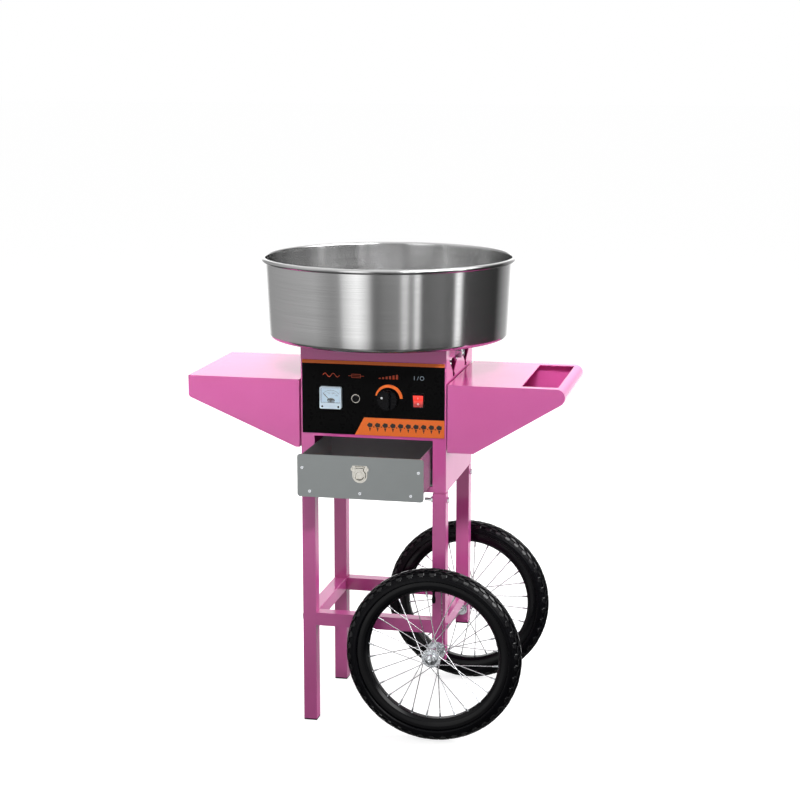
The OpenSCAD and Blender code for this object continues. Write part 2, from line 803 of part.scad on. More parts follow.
// Hollow tyre casing with its beads inside the rim's walls, and the valve stem
module tyre() {
    c = tyre_r - tyre_s;
    color(black) rotate_extrude($fn = 128) difference() {
        translate([c, 0]) circle(r = tyre_s);
        intersection() {
            translate([c - 1, 0]) circle(r = tyre_s - 5);
            translate([c - 1, -tyre_s]) square([tyre_s, 2 * tyre_s]);
        }
        translate([rim_in, -bead_y]) square([c - rim_in, 2 * bead_y]);
        translate([rim_in, rim_wall_y - 0.2]) square([rim_r - rim_in + 0.3, tyre_s]);
        translate([rim_in, -rim_wall_y + 0.2 - tyre_s]) square([rim_r - rim_in + 0.3, tyre_s]);
        translate([rim_in, -tyre_s]) square([rim_floor + 0.3, 2 * tyre_s]);
    }
    color(black) rotate([0, 0, 90]) {
        translate([rim_in - 26, 0, 0]) rotate([0, 90, 0]) cylinder(r = 4, h = 10);
        translate([rim_in - 16, 0, 0]) rotate([0, 90, 0]) cylinder(r = 3.2, h = 16);
    }
}

module hub_front() {
    at_wheel(0) hub();
}

module spokes_front() {
    at_wheel(0) wheel_spokes();
}

module rim_front() {
    at_wheel(0) rim();
}

module tyre_front() {
    at_wheel(0) tyre();
}

module hub_rear() {
    at_wheel(1) hub();
}

module spokes_rear() {
    at_wheel(1) wheel_spokes();
}

module rim_rear() {
    at_wheel(1) rim();
}

module tyre_rear() {
    at_wheel(1) tyre();
}

// ---------- drive and spinning head ----------

spindle_r = 6;
pulley_h = 11;
flange_over = 4;
belt_gap = 0.4;
belt_t = 3.6;

module pulley(r, bore) {
    translate([0, 0, belt_z - pulley_h / 2]) difference() {
        union() {
            cylinder(r = r, h = pulley_h);
            cylinder(r = r + flange_over, h = 2);
            translate([0, 0, pulley_h - 2]) cylinder(r = r + flange_over, h = 2);
        }
        translate([0, 0, -1]) cylinder(r = bore, h = pulley_h + 2);
    }
}

module motor() {
    floor_z = bay_roof + sheet;
    color([0.3, 0.32, 0.35]) translate([0, motor_y, 0]) difference() {
        union() {
            box([-36, -36, floor_z], [36, 36, floor_z + 4]);
            translate([0, 0, floor_z + 4]) cylinder(r = 36, h = 88);
            translate([0, 0, floor_z + 92]) cylinder(r = 14, h = 8);
        }
        for (x = [-30, 30], y = [-30, 30]) translate([x, y, floor_z - 1]) cylinder(r = 2.6, h = 6);
        translate([0, 0, floor_z + 60]) cylinder(r = 5 + run, h = 60);
    }
}

// Motor pulley on the motor's shaft
module motor_pulley() {
    color(steel) translate([0, motor_y, 0]) {
        pulley(motor_groove_r, 5);
        translate([0, 0, bay_roof + sheet + 62]) cylinder(r = 5, h = belt_z + 12 - bay_roof - sheet - 62);
    }
}

module belt_outline(grow) {
    hull() {
        circle(r = groove_r + grow);
        translate([0, motor_y]) circle(r = motor_groove_r + grow);
    }
}

module drive_belt() {
    color(black) translate([0, 0, belt_z - 2.5]) linear_extrude(5) difference() {
        belt_outline(belt_gap + belt_t);
        belt_outline(belt_gap);
    }
}

spindle_low = bay_roof + sheet + 5;

module spindle() {
    color(steel) translate([0, 0, spindle_low]) cylinder(r = spindle_r, h = head_z - spindle_low + 4);
}

module spindle_pulley() {
    color(steel) pulley(groove_r, spindle_r);
}

ring_z = [694, 714];

// Two copper rings on an insulating sleeve
module slip_rings() {
    color([0.5, 0.3, 0.15]) translate([0, 0, ring_z[0] - 6]) difference() {
        cylinder(r = 10, h = 42);
        translate([0, 0, -1]) cylinder(r = spindle_r, h = 44);
    }
    color(copper) for (z = ring_z) translate([0, 0, z]) difference() {
        cylinder(r = 14, h = 10);
        translate([0, 0, -1]) cylinder(r = 10, h = 12);
    }
}

module spindle_bearings() {
    color(steel) for (b = [[bay_roof + sheet, 20], [deck_z - 18, 22]]) translate([0, 0, b[0]]) difference() {
        union() {
            cylinder(r = b[1], h = 18);
            translate([-34, -14, b[1] > 20 ? 14 : 0]) cube([68, 28, 4]);
        }
        translate([0, 0, -1]) cylinder(r = spindle_r + run, h = 20);
    }
}

// Insulating post with two carbon brushes beside the slip rings
module brush_holder() {
    color([0.45, 0.25, 0.12]) {
        box([-9, -44, bay_roof + sheet], [9, -36, 734]);
        for (z = ring_z) difference() {
            box([-6, -36, z], [6, -20, z + 10]);
            box([-4, -37, z + 2], [4, -19, z + 8]);
        }
    }
    color(black) for (z = ring_z) box([-3.9, -36, z + 2.1], [3.9, -14.4, z + 7.9]);
}

head_r = 50;
band_h = 26;
slots = 36;

module spinner_base() {
    color(steel) translate([0, 0, head_z]) {
        difference() {
            union() {
                cylinder(r = head_r, h = 3);
                translate([0, 0, -10]) cylinder(r = 13, h = 10);
            }
            translate([0, 0, -11]) cylinder(r = spindle_r, h = 15);
        }
    }
}

// Ribbon heater wound in stacked rings behind the slotted band
module heater_coil() {
    color(copper) for (i = [0:3]) translate([0, 0, head_z + 7 + 5 * i])
        rotate_extrude() translate([41, 0]) circle(r = 1.6, $fn = 24);
    color("white") for (i = [0:5]) rotate([0, 0, 60 * i])
        translate([36.5, -2, head_z + 3]) cube([2.7, 4, band_h - 3]);
}

// Slotted band and the cap with its sugar opening
module spinner_head() {
    color(steel) difference() {
        translate([0, 0, head_z + 3]) cylinder(r = head_r - 1, h = band_h - 3);
        translate([0, 0, head_z + 2]) cylinder(r = head_r - 2.5, h = band_h);
        for (i = [0:slots - 1]) rotate([0, 0, i * 360 / slots])
            translate([head_r - 5, -1, head_z + 7]) cube([10, 2, band_h - 12]);
    }
    color(steel) translate([0, 0, head_z + band_h]) rotate_extrude()
        polygon([[20, 16], [20, 10], [head_r, 0], [head_r, 3], [22, 16]]);
}

// ---------- bowl ----------

wall_top_r = bowl_d / 2 - 2 * roll_r + bowl_t;
wall_low_r = 245;
corner_r = 9;

// Half section of the spun bowl: flat bottom, round corner, slightly tapered wall
module bowl_section(t) {
    c = [wall_low_r - corner_r, bowl_z + corner_r];
    polygon([[0, bowl_z + t], [c[0], bowl_z + t], [wall_low_r - t, c[1]],
        [wall_top_r - t, rim_top - roll_r], [0, rim_top - roll_r]]);
    translate(c) circle(r = corner_r - t);
}

module bowl() {
    color(steel) {
        difference() {
            rotate_extrude($fn = 128) difference() {
                bowl_section(0);
                bowl_section(bowl_t);
                translate([0, bowl_z - 1]) square([bowl_hole_r, 20]);
                translate([0, rim_top - roll_r - bowl_t]) square([wall_top_r - bowl_t, 9]);
                translate([-100, bowl_z - 1]) square([100, 200]);
            }
        }
        rotate_extrude($fn = 128) translate([bowl_d / 2 - roll_r, rim_top - roll_r])
            circle(r = roll_r, $fn = 32);
        translate([0, 0, bowl_z]) difference() {
            cylinder(r = bowl_hole_r + 1.5, h = 20);
            translate([0, 0, -1]) cylinder(r = bowl_hole_r, h = 22);
        }
        both_sides() box([w2 + 4, latch_y - 6, 768], [w2 + 5.5, latch_y + 6, bowl_z]);
    }
}

module bowl_gasket() {
    color(black) translate([0, 0, house_top]) difference() {
        cylinder(r = 122, h = bowl_z - house_top);
        translate([0, 0, -1]) cylinder(r = 112, h = 10);
    }
}

housing_shell();
top_deck();
divider_shelf();
bottom_plate();
back_cover();
cover_screws();
vent_baffles();
control_panel();
panel_trim();
meter_case();
meter_dial();
meter_glass();
meter_needle();
fuse_holder();
fuse_link();
fuse_cap();
regulator();
knob();
switch_housing();
switch_rocker();
latch_brackets();
latch_left();
latch_right();
drawer_runners();
drawer_box();
drawer_front();
drawer_rivets();
pull_plate();
pull_flap();
shelf_left();
shelf_right();
frame_bolts();
legs_left();
legs_right();
leg_caps();
cross_stretchers();
side_stretchers();
axles();
hub_front();
spokes_front();
rim_front();
tyre_front();
hub_rear();
spokes_rear();
rim_rear();
tyre_rear();
motor();
motor_pulley();
drive_belt();
spindle();
spindle_pulley();
slip_rings();
spindle_bearings();
brush_holder();
spinner_base();
heater_coil();
spinner_head();
bowl();
bowl_gasket();
power_inlet();
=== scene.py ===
"""Looks of a cotton candy machine on its two-wheeled cart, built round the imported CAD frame.

Lengths in the part's own millimetres are multiplied by MM. Places are read from the frame's nodes.
"""

import math

import bmesh
import bpy
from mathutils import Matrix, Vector


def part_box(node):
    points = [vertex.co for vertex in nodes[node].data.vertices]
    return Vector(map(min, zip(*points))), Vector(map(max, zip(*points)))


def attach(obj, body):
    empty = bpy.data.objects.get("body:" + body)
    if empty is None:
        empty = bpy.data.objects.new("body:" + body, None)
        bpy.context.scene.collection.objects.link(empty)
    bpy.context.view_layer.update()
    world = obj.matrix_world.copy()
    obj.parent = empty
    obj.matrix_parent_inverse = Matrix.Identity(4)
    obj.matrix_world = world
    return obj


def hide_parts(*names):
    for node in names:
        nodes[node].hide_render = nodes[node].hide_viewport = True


MM = 0.001
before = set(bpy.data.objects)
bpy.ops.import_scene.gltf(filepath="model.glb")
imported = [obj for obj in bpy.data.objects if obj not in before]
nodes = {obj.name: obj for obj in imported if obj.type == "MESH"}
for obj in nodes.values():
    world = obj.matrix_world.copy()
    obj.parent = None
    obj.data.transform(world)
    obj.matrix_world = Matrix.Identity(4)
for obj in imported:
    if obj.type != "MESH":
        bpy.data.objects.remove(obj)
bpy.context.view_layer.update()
scene = bpy.context.scene


# ---------- material building ----------


class Look:
    """A Principled material, with helpers that add one procedural layer each."""

    def __init__(self, name, color, roughness, metallic=0.0, **sockets):
        self.mat = bpy.data.materials.new(name)
        self.mat.use_nodes = True
        self.tree = self.mat.node_tree
        self.tree.nodes.clear()
        out = self.tree.nodes.new("ShaderNodeOutputMaterial")
        self.shader = self.tree.nodes.new("ShaderNodeBsdfPrincipled")
        self.tree.links.new(self.shader.outputs[0], out.inputs[0])
        self.place = self.tree.nodes.new("ShaderNodeTexCoord").outputs["Object"]
        self.color = color
        self.set("Base Color", (*color, 1))
        self.set("Roughness", roughness)
        self.set("Metallic", metallic)
        for key, value in sockets.items():
            self.set(key.replace("_", " ").title().replace("Ior", "IOR"), value)
        self.normal = None

    def set(self, socket, value):
        self.shader.inputs[socket].default_value = value

    def node(self, kind, **inputs):
        made = self.tree.nodes.new(kind)
        for key, value in inputs.items():
            socket = made.inputs[int(key[1:])] if key[0] == "i" and key[1:].isdigit() else made.inputs[key]
            if hasattr(value, "is_output"):
                self.tree.links.new(value, socket)
            else:
                socket.default_value = value
        return made

    def math(self, operation, a, b=0.0):
        made = self.node("ShaderNodeMath", i0=a, i1=b)
        made.operation = operation
        return made.outputs[0]

    def stretched(self, scale):
        """The object's own coordinates times a scale for each axis."""
        made = self.node("ShaderNodeVectorMath", i0=self.place, i1=scale)
        made.operation = "MULTIPLY"
        return made.outputs[0]

    def ringed(self, along, across):
        """Coordinates in which grain runs round the Z axis, on walls and on flat discs alike."""
        parts = self.node("ShaderNodeSeparateXYZ", i0=self.place).outputs
        flat = self.node("ShaderNodeCombineXYZ", i0=parts[0], i1=parts[1])
        length = self.node("ShaderNodeVectorMath", i0=flat.outputs[0])
        length.operation = "LENGTH"
        rise = self.math("ADD", parts[2], length.outputs["Value"])
        return self.node(
            "ShaderNodeCombineXYZ",
            i0=self.math("MULTIPLY", parts[0], along),
            i1=self.math("MULTIPLY", parts[1], along),
            i2=self.math("MULTIPLY", rise, across),
        ).outputs[0]

    def noise(self, vector, scale=1.0, detail=3.0, rough=0.55):
        return self.node("ShaderNodeTexNoise", Vector=vector, Scale=scale, Detail=detail, Roughness=rough).outputs[0]

    def even(self, scale, detail=3.0):
        """Noise of one scale in every direction."""
        return self.noise(self.stretched((scale,) * 3), detail=detail)

    def spread(self, value, low, high, low_in=0.3, high_in=0.7):
        """A value between low_in and high_in, carried over to the range from low to high."""
        return self.node("ShaderNodeMapRange", i0=value, i1=low_in, i2=high_in, i3=low, i4=high).outputs[0]

    def tint(self, value, other, most=1.0):
        """Base colour that drifts from the look's own colour to another one."""
        mix = self.tree.nodes.new("ShaderNodeMix")
        mix.data_type = "RGBA"
        color_in = [s for s in mix.inputs if s.type == "RGBA"]
        source = self.shader.inputs["Base Color"].links
        if source:
            self.tree.links.new(source[0].from_socket, color_in[0])
        else:
            color_in[0].default_value = (*self.color, 1)
        color_in[1].default_value = (*other, 1)
        self.tree.links.new(self.spread(value, 0.0, most), mix.inputs[0])
        self.tree.links.new([s for s in mix.outputs if s.type == "RGBA"][0], self.shader.inputs["Base Color"])
        return self

    def gloss(self, value, low, high):
        """Roughness that follows a value from low to high."""
        self.tree.links.new(self.spread(value, low, high), self.shader.inputs["Roughness"])
        return self

    def bump(self, height, distance, strength=1.0):
        """One more bump, laid over the ones already there."""
        made = self.node("ShaderNodeBump", Height=height, Distance=distance, Strength=strength)
        if self.normal is not None:
            self.tree.links.new(self.normal, made.inputs["Normal"])
        self.normal = made.outputs[0]
        self.tree.links.new(self.normal, self.shader.inputs["Normal"])
        return self


def powder_coat(name, color, deep, roughness, peel=1.0, coat=0.3, specular=0.45):
    """Gloss powder coat: faint orange peel, a little cloudiness in colour and gloss."""
    look = Look(name, color, roughness, coat_weight=coat, coat_roughness=0.06, specular_ior_level=specular)
    cloud = look.even(9, 4)
    look.tint(cloud, deep, 0.55)
    look.gloss(look.even(60, 5), roughness * 0.85, roughness * 1.25)
    look.bump(look.even(420, 1), 0.00004 * peel, 0.25)
    look.bump(cloud, 0.0006, 0.04)
    return look.mat


def plated(name, color, roughness, grain, stain):
    """Bright plated metal with fine grain and cloudy staining."""
    look = Look(name, color, roughness, metallic=1.0)
    look.tint(look.even(70, 5), stain, 0.3)
    look.gloss(look.even(260, 4), roughness * 0.85, roughness * 1.25)
    look.bump(look.noise(look.stretched(grain), detail=1), 0.000012, 0.12)
    return look.mat


def moulded(name, color, roughness, pale, texture=900, depth=0.00005, specular=0.5):
    """Moulded plastic: fine spark-eroded grain and slight colour drift."""
    look = Look(name, color, roughness, specular_ior_level=specular)
    look.tint(look.even(40, 4), pale, 0.6)
    look.gloss(look.even(150, 4), roughness * 0.8, roughness * 1.2)
    look.bump(look.even(texture, 2), depth, 0.35)
    return look.mat


def brushed_bowl():
    """Spun stainless steel, brushed round its axis, with the polish streaks of a lathe."""
    look = Look("spun_steel", (0.70, 0.70, 0.70), 0.18, metallic=1.0, anisotropic=0.85, anisotropic_rotation=0.25)
    tangent = look.tree.nodes.new("ShaderNodeTangent")
    tangent.direction_type = "RADIAL"
    tangent.axis = "Z"
    look.tree.links.new(tangent.outputs[0], look.shader.inputs["Tangent"])
    fine = look.noise(look.ringed(7, 1500), detail=2)
    broad = look.noise(look.ringed(3, 90), detail=3)
    look.tint(fine, (0.60, 0.60, 0.60), 0.5)
    look.tint(broad, (0.75, 0.75, 0.75), 0.3)
    look.gloss(fine, 0.14, 0.22)
    look.bump(fine, 0.00002, 0.15)
    return look.mat


def satin_steel(name, color, roughness, axis, metallic=1.0):
    """Flat steel sheet with straight brushing along one axis."""
    grain = [2600, 2600, 2600]
    grain["XYZ".index(axis)] = 40
    look = Look(name, color, roughness, metallic=metallic)
    fine = look.noise(look.stretched(tuple(grain)), detail=2)
    look.tint(fine, tuple(c * 0.9 for c in color), 0.35)
    look.tint(look.even(6, 3), tuple(c * 1.08 for c in color), 0.4)
    look.gloss(fine, roughness * 0.92, roughness * 1.1)
    look.bump(fine, 0.000004, 0.08)
    return look.mat


def galvanised():
    """Zinc-coated sheet with the crystal flowers of hot dipping."""
    look = Look("galvanised_sheet", (0.60, 0.61, 0.62), 0.36, metallic=1.0)
    cells = look.node("ShaderNodeTexVoronoi", Vector=look.place, Scale=140.0)
    tone = look.node("ShaderNodeSeparateColor", i0=cells.outputs["Color"]).outputs[0]
    look.tint(tone, (0.47, 0.48, 0.50), 0.8)
    look.gloss(tone, 0.28, 0.46)
    look.bump(look.even(700), 0.00003, 0.2)
    return look.mat


def tyre_rubber():
    """Black rubber with patchy gloss and a fine grain."""
    look = Look("tyre_rubber", (0.0015, 0.0015, 0.0025), 0.3, specular_ior_level=0.13)
    look.tint(look.even(30, 6), (0.004, 0.004, 0.006), 0.7)
    look.gloss(look.even(90, 5), 0.24, 0.36)
    look.bump(look.even(900, 2), 0.00005, 0.25)
    return look.mat


def lit_rocker_painted_highlight():
    """Glossy red rocker lit by its neon, with emission that rises from its foot to its top: painted highlight on the
    upper half.
    """
    look = Look("red_rocker", (0.42, 0.006, 0.006), 0.18, coat_weight=0.5, coat_roughness=0.05)
    low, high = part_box("switch_rocker")
    parts = look.node("ShaderNodeSeparateXYZ", i0=look.place).outputs
    # painted highlight: emission strength grows with height, so the upper half shines brighter than the lower
    glow_and_painted_highlight = look.spread(parts[2], 0.0, 1.1, low.z + 4 * MM, high.z - 4 * MM)
    look.tree.links.new(glow_and_painted_highlight, look.shader.inputs["Emission Strength"])
    look.set("Emission Color", (1.0, 0.07, 0.05, 1))
    look.tint(look.even(300), (0.75, 0.02, 0.015), 0.5)
    look.bump(look.even(500, 2), 0.00003, 0.2)
    return look.mat


def clear(name, color, roughness):
    """Clear plastic or glass, faintly hazed."""
    look = Look(name, color, roughness, ior=1.49, transmission_weight=1.0)
    look.gloss(look.even(80, 4), roughness, roughness + 0.03)
    return look.mat


def printed(name, color, worn):
    """Screen-printed ink, a touch uneven."""
    look = Look(name, color, 0.42)
    look.tint(look.even(500, 3), worn, 0.5)
    look.gloss(look.even(120, 3), 0.34, 0.5)
    look.bump(look.even(1500, 2), 0.00002, 0.2)
    return look.mat


looks = {
    "pink_paint": powder_coat("pink_powder_coat", (0.72, 0.125, 0.41), (0.68, 0.105, 0.37), 0.13,
                              coat=0.12, specular=0.4),
    "galvanised": galvanised(),
    "bright_zinc": plated("bright_zinc", (0.74, 0.76, 0.79), 0.2, (500, 500, 500), (0.62, 0.66, 0.68)),
    "spoke_steel": plated("spoke_steel", (0.82, 0.83, 0.85), 0.24, (60, 60, 60), (0.55, 0.56, 0.58)),
    "nickel": plated("nickel_plate", (0.62, 0.60, 0.55), 0.22, (900, 900, 900), (0.52, 0.50, 0.44)),
    "drawer_face": satin_steel("drawer_face", (0.34, 0.36, 0.36), 0.36, "X"),
    "drawer_steel": satin_steel("drawer_steel", (0.42, 0.41, 0.42), 0.24, "Y", metallic=0.7),
    "bowl_steel": brushed_bowl(),
    "machined_steel": plated("machined_steel", (0.58, 0.58, 0.60), 0.26, (1500, 1500, 60), (0.46, 0.46, 0.48)),
    "panel_black": moulded("panel_film", (0.0015, 0.0015, 0.0018), 0.3, (0.003, 0.003, 0.003), 700, 0.00001,
                           specular=0.04),
    "orange_print": printed("orange_print", (0.90, 0.185, 0.03), (0.80, 0.14, 0.02)),
    "black_plastic": moulded("black_plastic", (0.002, 0.002, 0.003), 0.26, (0.004, 0.004, 0.005), 900, 0.00002,
                             specular=0.1),
    "meter_plastic": moulded("meter_plastic", (0.68, 0.80, 0.90), 0.2, (0.60, 0.73, 0.85), 500, 0.00002),
    "dial_card": printed("dial_card", (0.72, 0.86, 0.97), (0.66, 0.81, 0.94)),
    "clear_plastic": clear("clear_plastic", (0.95, 0.98, 1.0), 0.02),
    "needle_paint": printed("needle_paint", (0.02, 0.02, 0.02), (0.04, 0.04, 0.04)),
    "fuse_glass": clear("fuse_glass", (0.9, 0.95, 0.95), 0.03),
    "regulator_plastic": moulded("regulator_case", (0.03, 0.05, 0.14), 0.4, (0.04, 0.07, 0.18)),
    "red_rocker": lit_rocker_painted_highlight(),
    "rim_paint": powder_coat("rim_black", (0.0015, 0.0015, 0.0025), (0.003, 0.003, 0.005), 0.18,
                             coat=0.0, specular=0.2),
    "tyre_rubber": tyre_rubber(),
    "belt_rubber": moulded("belt_rubber", (0.015, 0.015, 0.016), 0.6, (0.03, 0.03, 0.03), 1200, 0.0001),
    "motor_paint": powder_coat("motor_paint", (0.10, 0.11, 0.13), (0.07, 0.08, 0.09), 0.4, peel=3),
    "copper": plated("copper", (0.72, 0.36, 0.20), 0.3, (500, 500, 500), (0.5, 0.24, 0.14)),
    "phenolic": moulded("phenolic", (0.16, 0.055, 0.02), 0.45, (0.22, 0.08, 0.03), 300, 0.0001),
    # the three below are only on pieces added to the CAD's
    "tread": moulded("tread_rubber", (0.0025, 0.0025, 0.0035), 0.24, (0.006, 0.006, 0.008), 700, 0.00003),
    # darker copy of the nickel: painted shade, laid on the pull's crescent
    "shade": plated("nickel_painted_shade", (0.26, 0.25, 0.22), 0.3, (900, 900, 900), (0.18, 0.17, 0.15)),
    "weld": plated("weld_bead", (0.86, 0.86, 0.86), 0.2, (300, 300, 900), (0.75, 0.75, 0.75)),
}
white_ink = printed("white_ink", (0.78, 0.80, 0.82), (0.66, 0.68, 0.70))
# grey ink for print, also used as the painted shade on the meter's dial
grey_ink_and_painted_shade = printed("grey_ink_and_painted_shade", (0.20, 0.26, 0.32), (0.28, 0.33, 0.38))
black_ink = printed("black_ink", (0.012, 0.010, 0.010), (0.03, 0.02, 0.02))
red_ink = printed("label_ink", (0.62, 0.085, 0.03), (0.48, 0.06, 0.02))


# ---------- mesh building ----------


def piece(name, verts, faces, look, body, slot=None, smooth_over=None):
    """A mesh piece in the row frame that rides on a body. smooth_over: edges under this many degrees are smooth."""
    mesh = bpy.data.meshes.new(name)
    mesh.from_pydata([tuple(v) for v in verts], [], faces)
    work = bmesh.new()
    work.from_mesh(mesh)
    bmesh.ops.remove_doubles(work, verts=work.verts, dist=1e-7)
    bmesh.ops.recalc_face_normals(work, faces=work.faces)
    for face in work.faces:
        face.smooth = smooth_over is not None
    for edge in work.edges:
        if smooth_over is not None and len(edge.link_faces) == 2:
            edge.smooth = edge.calc_face_angle(0) < math.radians(smooth_over)
    work.to_mesh(mesh)
    work.free()
    mesh.materials.append(look)
    made = bpy.data.objects.new(name, mesh)
    scene.collection.objects.link(made)
    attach(made, body)
    return made


def bevel(obj, width, segments=2, angle=30):
    """Rounds the sharp edges of a piece or of a CAD node."""
    made = obj.modifiers.new("edge_round", "BEVEL")
    made.width = width
    made.segments = segments
    made.limit_method = "ANGLE"
    made.angle_limit = math.radians(angle)
    made.use_clamp_overlap = True
    shade = obj.modifiers.new("even_normals", "WEIGHTED_NORMAL")
    shade.keep_sharp = True
    shade.weight = 60
    return obj


def rounded(points, radii, steps=6):
    """A closed outline whose corners are replaced by arcs. radii: one number, or one for each corner."""
    count = len(points)
    if not hasattr(radii, "__len__"):
        radii = [radii] * count
    made = []
    for i, (point, radius) in enumerate(zip(points, radii)):
        p = Vector(point)
        back = Vector(points[i - 1]) - p
        ahead = Vector(points[(i + 1) % count]) - p
        turn = back.angle(ahead)
        if radius <= 0 or turn > math.pi - 0.02:
            made.append(p)
            continue
        reach = min(radius / math.tan(turn / 2), 0.49 * min(back.length, ahead.length))
        start = p + back.normalized() * reach
        end = p + ahead.normalized() * reach
        for k in range(steps + 1):
            t = k / steps
            made.append((1 - t) ** 2 * start + 2 * t * (1 - t) * p + t * t * end)
    return made


def lathe(profile, steps, place, closed=True):
    """Turns a profile of (r, z) points into verts and faces. place maps a local (x, y, z) into the row frame."""
    verts = []
    faces = []
    count = len(profile)
    for i in range(steps):
        a = 2 * math.pi * i / steps
        verts += [place(r * math.cos(a), r * math.sin(a), z) for r, z in profile]
        for k in range(count if closed else count - 1):
            after = (k + 1) % count
            n = (i + 1) % steps
            faces.append((i * count + k, i * count + after, n * count + after, n * count + k))
    return verts, faces


def join(*parts):
    """Several (verts, faces) as one."""
    verts = []
    faces = []
    for more_verts, more_faces in parts:
        base = len(verts)
        verts += more_verts
        faces += [tuple(base + i for i in f) for f in more_faces]
    return verts, faces


def tube(path, radius, sides=10):
    """A round wire along a path of points, with closed ends."""
    verts = []
    faces = []
    path = [Vector(p) for p in path]
    side = None
    for i, p in enumerate(path):
        along = (path[min(i + 1, len(path) - 1)] - path[max(i - 1, 0)]).normalized()
        if side is None:
            side = along.orthogonal().normalized()
        side = (side - along * side.dot(along)).normalized()
        up = along.cross(side)
        r = radius[i] if hasattr(radius, "__len__") else radius
        for k in range(sides):
            a = 2 * math.pi * k / sides
            verts.append(p + (side * math.cos(a) + up * math.sin(a)) * r)
    for i in range(len(path) - 1):
        for k in range(sides):
            n = (k + 1) % sides
            faces.append((i * sides + k, i * sides + n, (i + 1) * sides + n, (i + 1) * sides + k))
    faces.append(tuple(range(sides)))
    faces.append(tuple((len(path) - 1) * sides + k for k in range(sides)))
    return verts, faces


def prism(outline, low, high, place):
    """A plate: an outline of (u, v) points between two depths. place maps (u, v, depth) into the row frame."""
    count = len(outline)
    verts = [place(u, v, low) for u, v in outline] + [place(u, v, high) for u, v in outline]
    faces = [tuple(range(count)), tuple(range(count, 2 * count))]
    faces += [(i, (i + 1) % count, count + (i + 1) % count, count + i) for i in range(count)]
    return verts, faces


def ribbon(points, width):
    """The outline of a stroke of even width along (u, v) points."""
    left = []
    right = []
    points = [Vector(p) for p in points]
    for i, p in enumerate(points):
        along = (points[min(i + 1, len(points) - 1)] - points[max(i - 1, 0)]).normalized()
        out = Vector((-along.y, along.x)) * width / 2
        left.append(p + out)
        right.append(p - out)
    return left + right[::-1]


def arc(centre, radius, start, end, steps=20):
    """Points on an arc, in degrees from the u axis."""
    angles = [math.radians(start + (end - start) * i / steps) for i in range(steps + 1)]
    return [(centre[0] + radius * math.cos(a), centre[1] + radius * math.sin(a)) for a in angles]


def ring_outline(centre, outer, inner, place, low, high, steps=40):
    """A flat ring as verts and faces."""
    section = [(inner, low), (outer, low), (outer, high), (inner, high)]
    return lathe(section, steps, lambda x, y, z: place(centre[0] + x, centre[1] + y, z))


# ---------- bowl ----------

bowl_low, bowl_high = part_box("bowl")
BOWL_R = bowl_high.x
BOWL_Z = 790 * MM
SHEET = 0.75 * MM
ROLL_R = 5 * MM
WALL_LOW_R = 245 * MM
CORNER_R = 9 * MM
HOLE_R = 62 * MM
COLLAR_H = 20 * MM
SEAM_TURN = math.radians(109.8)
SEAM_R = 0.95 * MM
TAB_BACK = 34 * MM
TAB_X = 152.2
TAB_OUT_X = 153.5
TAB_LOW_Z = 768
TAB_FOOT_Z = 789.2


def bowl_path():
    """Middle line of the spun sheet, from the collar's top, across the floor and up the wall to the rolled rim."""
    z = BOWL_Z + SHEET
    wall_r = BOWL_R - 2 * ROLL_R + SHEET
    roll = ROLL_R - SHEET
    centre = (BOWL_R - ROLL_R, bowl_high.z - ROLL_R)
    path = [(HOLE_R + SHEET, BOWL_Z + COLLAR_H)]
    path += arc((HOLE_R + SHEET + 4 * MM, z + 4 * MM), 4 * MM, 180, 270, 8)
    path += [(HOLE_R + 30 * MM * k, z) for k in range(1, 5)]
    path += arc((WALL_LOW_R - CORNER_R, BOWL_Z + CORNER_R), CORNER_R - SHEET, -90, -4, 14)
    foot = path[-1]
    wall_top = centre[1] - 6 * MM
    path += [(foot[0] + (wall_r - foot[0]) * t / 6, foot[1] + (wall_top - foot[1]) * t / 6) for t in range(1, 7)]
    path += arc(centre, roll, 180, -155, 30)
    return path


def bowl_shell():
    """The bowl's spun sheet, the weld bead down its wall and the two tabs that the latches hold."""
    path = [Vector(p) for p in bowl_path()]
    skin = ribbon(path, 2 * SHEET)
    verts, faces = lathe([tuple(p) for p in skin], 288, lambda x, y, z: Vector((x, y, z)))
    shell = piece("bowl_shell", verts, faces, looks["bowl_steel"], "bowl", "bowl_steel", 50)
    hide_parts("bowl")
    wall = [p for p in path[20:] if p[0] > 240 * MM and BOWL_Z + CORNER_R < p[1] < bowl_high.z - 12 * MM]
    seam = tube([(r * math.cos(SEAM_TURN), r * math.sin(SEAM_TURN), z) for r, z in wall], SEAM_R, 12)
    piece("bowl_seam", *seam, looks["weld"], "bowl", "bowl_steel", 40)
    tab_y = (bowl_low.y + bowl_high.y) / 2 - TAB_BACK
    parts = []
    for side in (-1, 1):
        outline = rounded([(-6, TAB_LOW_Z), (6, TAB_LOW_Z), (6, TAB_FOOT_Z), (-6, TAB_FOOT_Z)], [2, 2, 0, 0])
        parts.append(prism([p * MM for p in outline], TAB_X * MM, TAB_OUT_X * MM,
                           lambda u, v, d: Vector((side * d, tab_y + u, v))))
        foot = rounded([(-9, 0), (9, 0), (9, 12), (-9, 12)], 2.5)
        parts.append(prism([p * MM for p in foot], TAB_FOOT_Z * MM, BOWL_Z,
                           lambda u, v, d: Vector((side * (TAB_X * MM + v), tab_y + u, d))))
    tabs = piece("bowl_tabs", *join(*parts), looks["bowl_steel"], "bowl", "bowl_steel", 30)
    bevel(tabs, 0.25 * MM)


# ---------- wheels ----------


class Wheel:
    """One wheel's own frame: local z is the axle, outwards."""

    def __init__(self, end):
        low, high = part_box("tyre_" + end)
        self.end = end
        self.body = "wheel_" + end
        self.centre = (low + high) / 2
        self.side = -1 if self.centre.y < 0 else 1

    def place(self, x, y, z):
        return Vector((self.centre.x + x, self.centre.y + self.side * z, self.centre.z + y))


